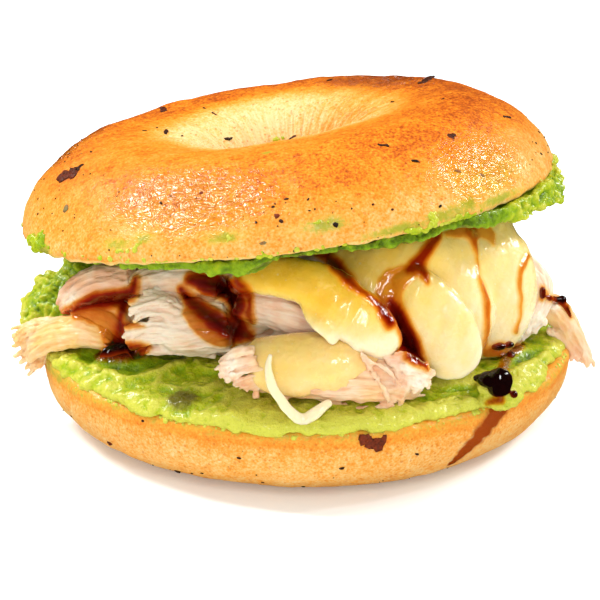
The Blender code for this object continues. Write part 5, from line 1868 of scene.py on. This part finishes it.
# Small flecks on a half: how many, its middle, and up to what height they lie, in millimetres
SMALL_FLECKS = ((170, LID_CENTRE, 34.0), (50, (0.0, 0.0, 0.0), 13.0))
FLECK_KINDS = (0.0, 0.05, 0.1, 0.3, 0.9)
FLECK_THICKNESS = 0.3
# From this length a flake is made of several scraps, and from this length a scrap has more corners
RAGGED_FROM_MM, FINE_FROM_MM = 2.0, 2.5
SCRAPS_A_FLAKE = 10
MANY_CORNERS, FEW_CORNERS = 11, 6
# Below this the surface is flat, and any direction on it is level
FLAT_BELOW = 1e-3
# A scrap's rings from below to above: how high each lies, as a share of the thickness, and how wide it is
SCRAP_RINGS = ((-0.5, 0.8), (0.1, 1.0), (0.5, 0.7))


def ways_on(normal, turn_degrees):
    """Two directions on a surface, the first turned from level by that angle."""
    level = np.cross(UP, normal)
    size = np.linalg.norm(level)
    level = level / size if size > FLAT_BELOW else np.array([1.0, 0.0, 0.0])
    turn = math.radians(turn_degrees)
    along = level * math.cos(turn) + np.cross(normal, level) * math.sin(turn)
    return along, np.cross(normal, along)


def scrap(hit, length, width, thickness, turn_degrees, draw):
    """A crumpled thin scrap lying on the surface."""
    place, normal = np.array(hit[0]), np.array(hit[1])
    along, beside = ways_on(normal, turn_degrees)
    sides = MANY_CORNERS if length > FINE_FROM_MM else FEW_CORNERS
    rims = [draw.uniform(0.6, 1.1) for _ in range(sides)]
    points = []
    for lift, reach in SCRAP_RINGS:
        for k, rim in enumerate(rims):
            angle = 2 * math.pi * k / sides
            spot = place + along * (0.5 * length * reach * rim * math.cos(angle))
            spot = spot + beside * (0.5 * width * reach * rim * math.sin(angle))
            points.append(spot + normal * thickness * (lift + draw.uniform(-0.2, 0.2)))
    faces = []
    for low in (0, sides):
        for k in range(sides):
            after = (k + 1) % sides
            faces.append((low + k, low + after, low + sides + after, low + sides + k))
    faces.append(tuple(range(sides))[::-1])
    faces.append(tuple(range(2 * sides, 3 * sides)))
    return np.array(points), faces


def flake(hit, length, width, thickness, turn_degrees, draw):
    """A scrap, or for a large flake several that overlap."""
    if length < RAGGED_FROM_MM:
        return [scrap(hit, length, width, thickness, turn_degrees, draw)]
    along, beside = ways_on(np.array(hit[1]), turn_degrees)
    parts = []
    for k in range(SCRAPS_A_FLAKE):
        share = k / (SCRAPS_A_FLAKE - 1) - 0.5
        shift = along * length * share * 0.75 + beside * width * draw.uniform(-0.25, 0.25)
        near = np.array(hit[0]) + shift, hit[1]
        own_length, own_width = draw.uniform(0.3, 0.5) * length, width * draw.uniform(0.5, 1.1)
        turn = turn_degrees + draw.uniform(-40, 40)
        parts.append(scrap(near, own_length, own_width, 0.7 * thickness, turn, draw))
    return parts


def crust_flakes(lid, base):
    draw = random.Random(12)
    trees = trees_of([lid, base])
    shapes, kinds = [], []
    for x, y, length, width, thickness, turn, kind in LARGE_FLAKES:
        hit = seen_on(trees, x, y)
        if hit:
            parts = flake(hit, length, width, thickness, turn, draw)
            shapes += parts
            kinds += [kind] * len(parts)
    for count, centre, highest in SMALL_FLECKS:
        for _ in range(count):
            turn, rise = draw.uniform(0, 2 * math.pi), draw.uniform(2.0, highest)
            start, goal = (
                Vector(centre) + Vector((out * math.cos(turn), out * math.sin(turn), height))
                for out, height in ((90, rise), (34, min(rise * 0.25, 6.0)))
            )
            hit = first_hit(trees, start, (goal - start).normalized())
            if not hit:
                continue
            size = 0.22 + 0.42 * draw.random() ** 3
            length, spin = size * draw.uniform(1.0, 1.7), draw.uniform(0, 180)
            shapes.append(scrap(hit, length, size, FLECK_THICKNESS, spin, draw))
            kinds.append(draw.choice(FLECK_KINDS))
    thing = joined("charred_flakes", shapes)
    paint(thing, kind=np.repeat(kinds, [len(points) for points, _ in shapes]))
    return thing


# The room


FLOOR_SIDE = 6.0
WORLD_STRENGTH = 0.57
LAMPS_AIM = Vector((0, 0, 0.03))
NEAREST_SEEN = 0.01
# Name, place, width and length of the lit face in metres, power in watts, and whether gloss shows it
LAMPS = (
    ("softbox_left", (-0.49, 0.18, 0.60), (0.28, 0.28), 4.6, True),
    ("softbox_right", (0.59, 0.22, 0.49), (0.22, 0.22), 3.2, True),
    ("fill_front", (-0.10, -0.95, 0.36), (0.60, 0.60), 2.9, False),
    ("strip_left", (-0.36, 0.02, 0.62), (0.04, 0.20), 1.4, True),
    ("strip_right", (0.50, -0.02, 0.50), (0.04, 0.16), 1.0, True),
    ("strip_front", (0.10, -0.62, 0.62), (0.06, 0.26), 1.25, True),
)


def stage():
    bpy.ops.mesh.primitive_plane_add(size=FLOOR_SIDE, location=(0, 0, 0))
    floor = bpy.context.object
    floor.name = "floor"
    floor.data.materials.append(floor_material())
    floor.visible_glossy = False

    scene = bpy.context.scene
    world = bpy.data.worlds.new("studio")
    world.use_nodes = True
    background = world.node_tree.nodes["Background"].inputs
    background["Color"].default_value = (1.0, 1.0, 1.0, 1.0)
    background["Strength"].default_value = WORLD_STRENGTH
    world.cycles_visibility.glossy = False
    scene.world = world
    scene.view_settings.view_transform = "Standard"

    for name, place, (width, length), power, in_gloss in LAMPS:
        lamp = bpy.data.lights.new(name, "AREA")
        lamp.shape = "RECTANGLE"
        lamp.size = width
        lamp.size_y = length
        lamp.energy = power
        holder = bpy.data.objects.new(name, lamp)
        holder.visible_glossy = in_gloss
        holder.location = place
        holder.rotation_euler = (LAMPS_AIM - Vector(place)).to_track_quat("-Z", "Y").to_euler()
        scene.collection.objects.link(holder)

    camera = bpy.data.cameras.new("camera")
    camera.lens = CAMERA_LENS
    camera.sensor_width = SENSOR
    camera.clip_start = NEAREST_SEEN
    eye = bpy.data.objects.new("camera", camera)
    eye.location = CAMERA_PLACE
    eye.rotation_euler = (math.pi / 2 - CAMERA_PITCH, 0.0, 0.0)
    scene.collection.objects.link(eye)
    scene.camera = eye


# The whole


# The spreads: voxel, and the height of their ridges and of their lumps, in millimetres; then their tones
LOWER_MASH, UPPER_MASH = (0.38, 0.40, 0.34), (0.40, 0.30, 0.70)
# The upper spread's tone is the deeper one, partly its own green and partly painted shade under the lid
LOWER_TONE, UPPER_TONE_WITH_SHADE = 0.31, 0.80
LID_ROUGHNESS, BASE_ROUGHNESS = 0.42, 0.52


def sandwich():
    lid, base = upper_bread(), lower_bread()
    chicken = {name: [pulled_chicken(name)] for name in CHICKEN}
    chicken["chicken_heap"] = [chicken_heap()]
    cheese = cheeses()
    lower = mash("lower_avocado", "avocado_lower", *LOWER_MASH)
    upper = mash("upper_avocado", "avocado_upper", *UPPER_MASH)
    paint_mash(lower, LOWER_TONE, furrow(lower))
    paint_mash(upper, UPPER_TONE_WITH_SHADE)

    filling = {**chicken, **cheese, "avocado_lower": [lower], "avocado_upper": [upper]}
    things = [thing for pieces in filling.values() for thing in pieces]
    under_sauce = [thing for thing in things if thing is not upper]
    trees = trees_of(under_sauce)
    lines = {name: places_seen(run, trees) for name, run in SAUCE_RUNS.items()}
    lines.update({name: places_round(run, trees) for name, run in BACK_RUNS.items()})
    for thing in things:
        pour_over(thing, {} if thing in (upper, cheese["cheese_front_melt"][1]) else lines)
    trees = trees_of([*under_sauce, lid, base])
    dark = sauce({name: places_seen(SAUCE_RUNS[name], trees) for name in SAUCE_BEADS}, trees)
    wiped = wiped_avocado(lid, base)
    flakes = crust_flakes(lid, base)

    settle(lid, ["bagel_top"], crust_material("upper_crust", LID_ROUGHNESS))
    settle(base, ["bagel_bottom"], crust_material("lower_crust", BASE_ROUGHNESS))
    settle(flakes, ["bagel_top", "bagel_bottom"], fleck_material())
    settle(dark, ["cheese_right_slice", "avocado_lower"], sauce_material())
    materials = {"chicken": chicken_material(), "cheese": cheese_material(), "avocado": avocado_material()}
    settle(wiped, ["avocado_lower", "avocado_upper"], materials["avocado"])
    for node, pieces in filling.items():
        slot = node.split("_")[0]
        for thing in pieces:
            settle(thing, [node], materials[slot])


sandwich()
stage()
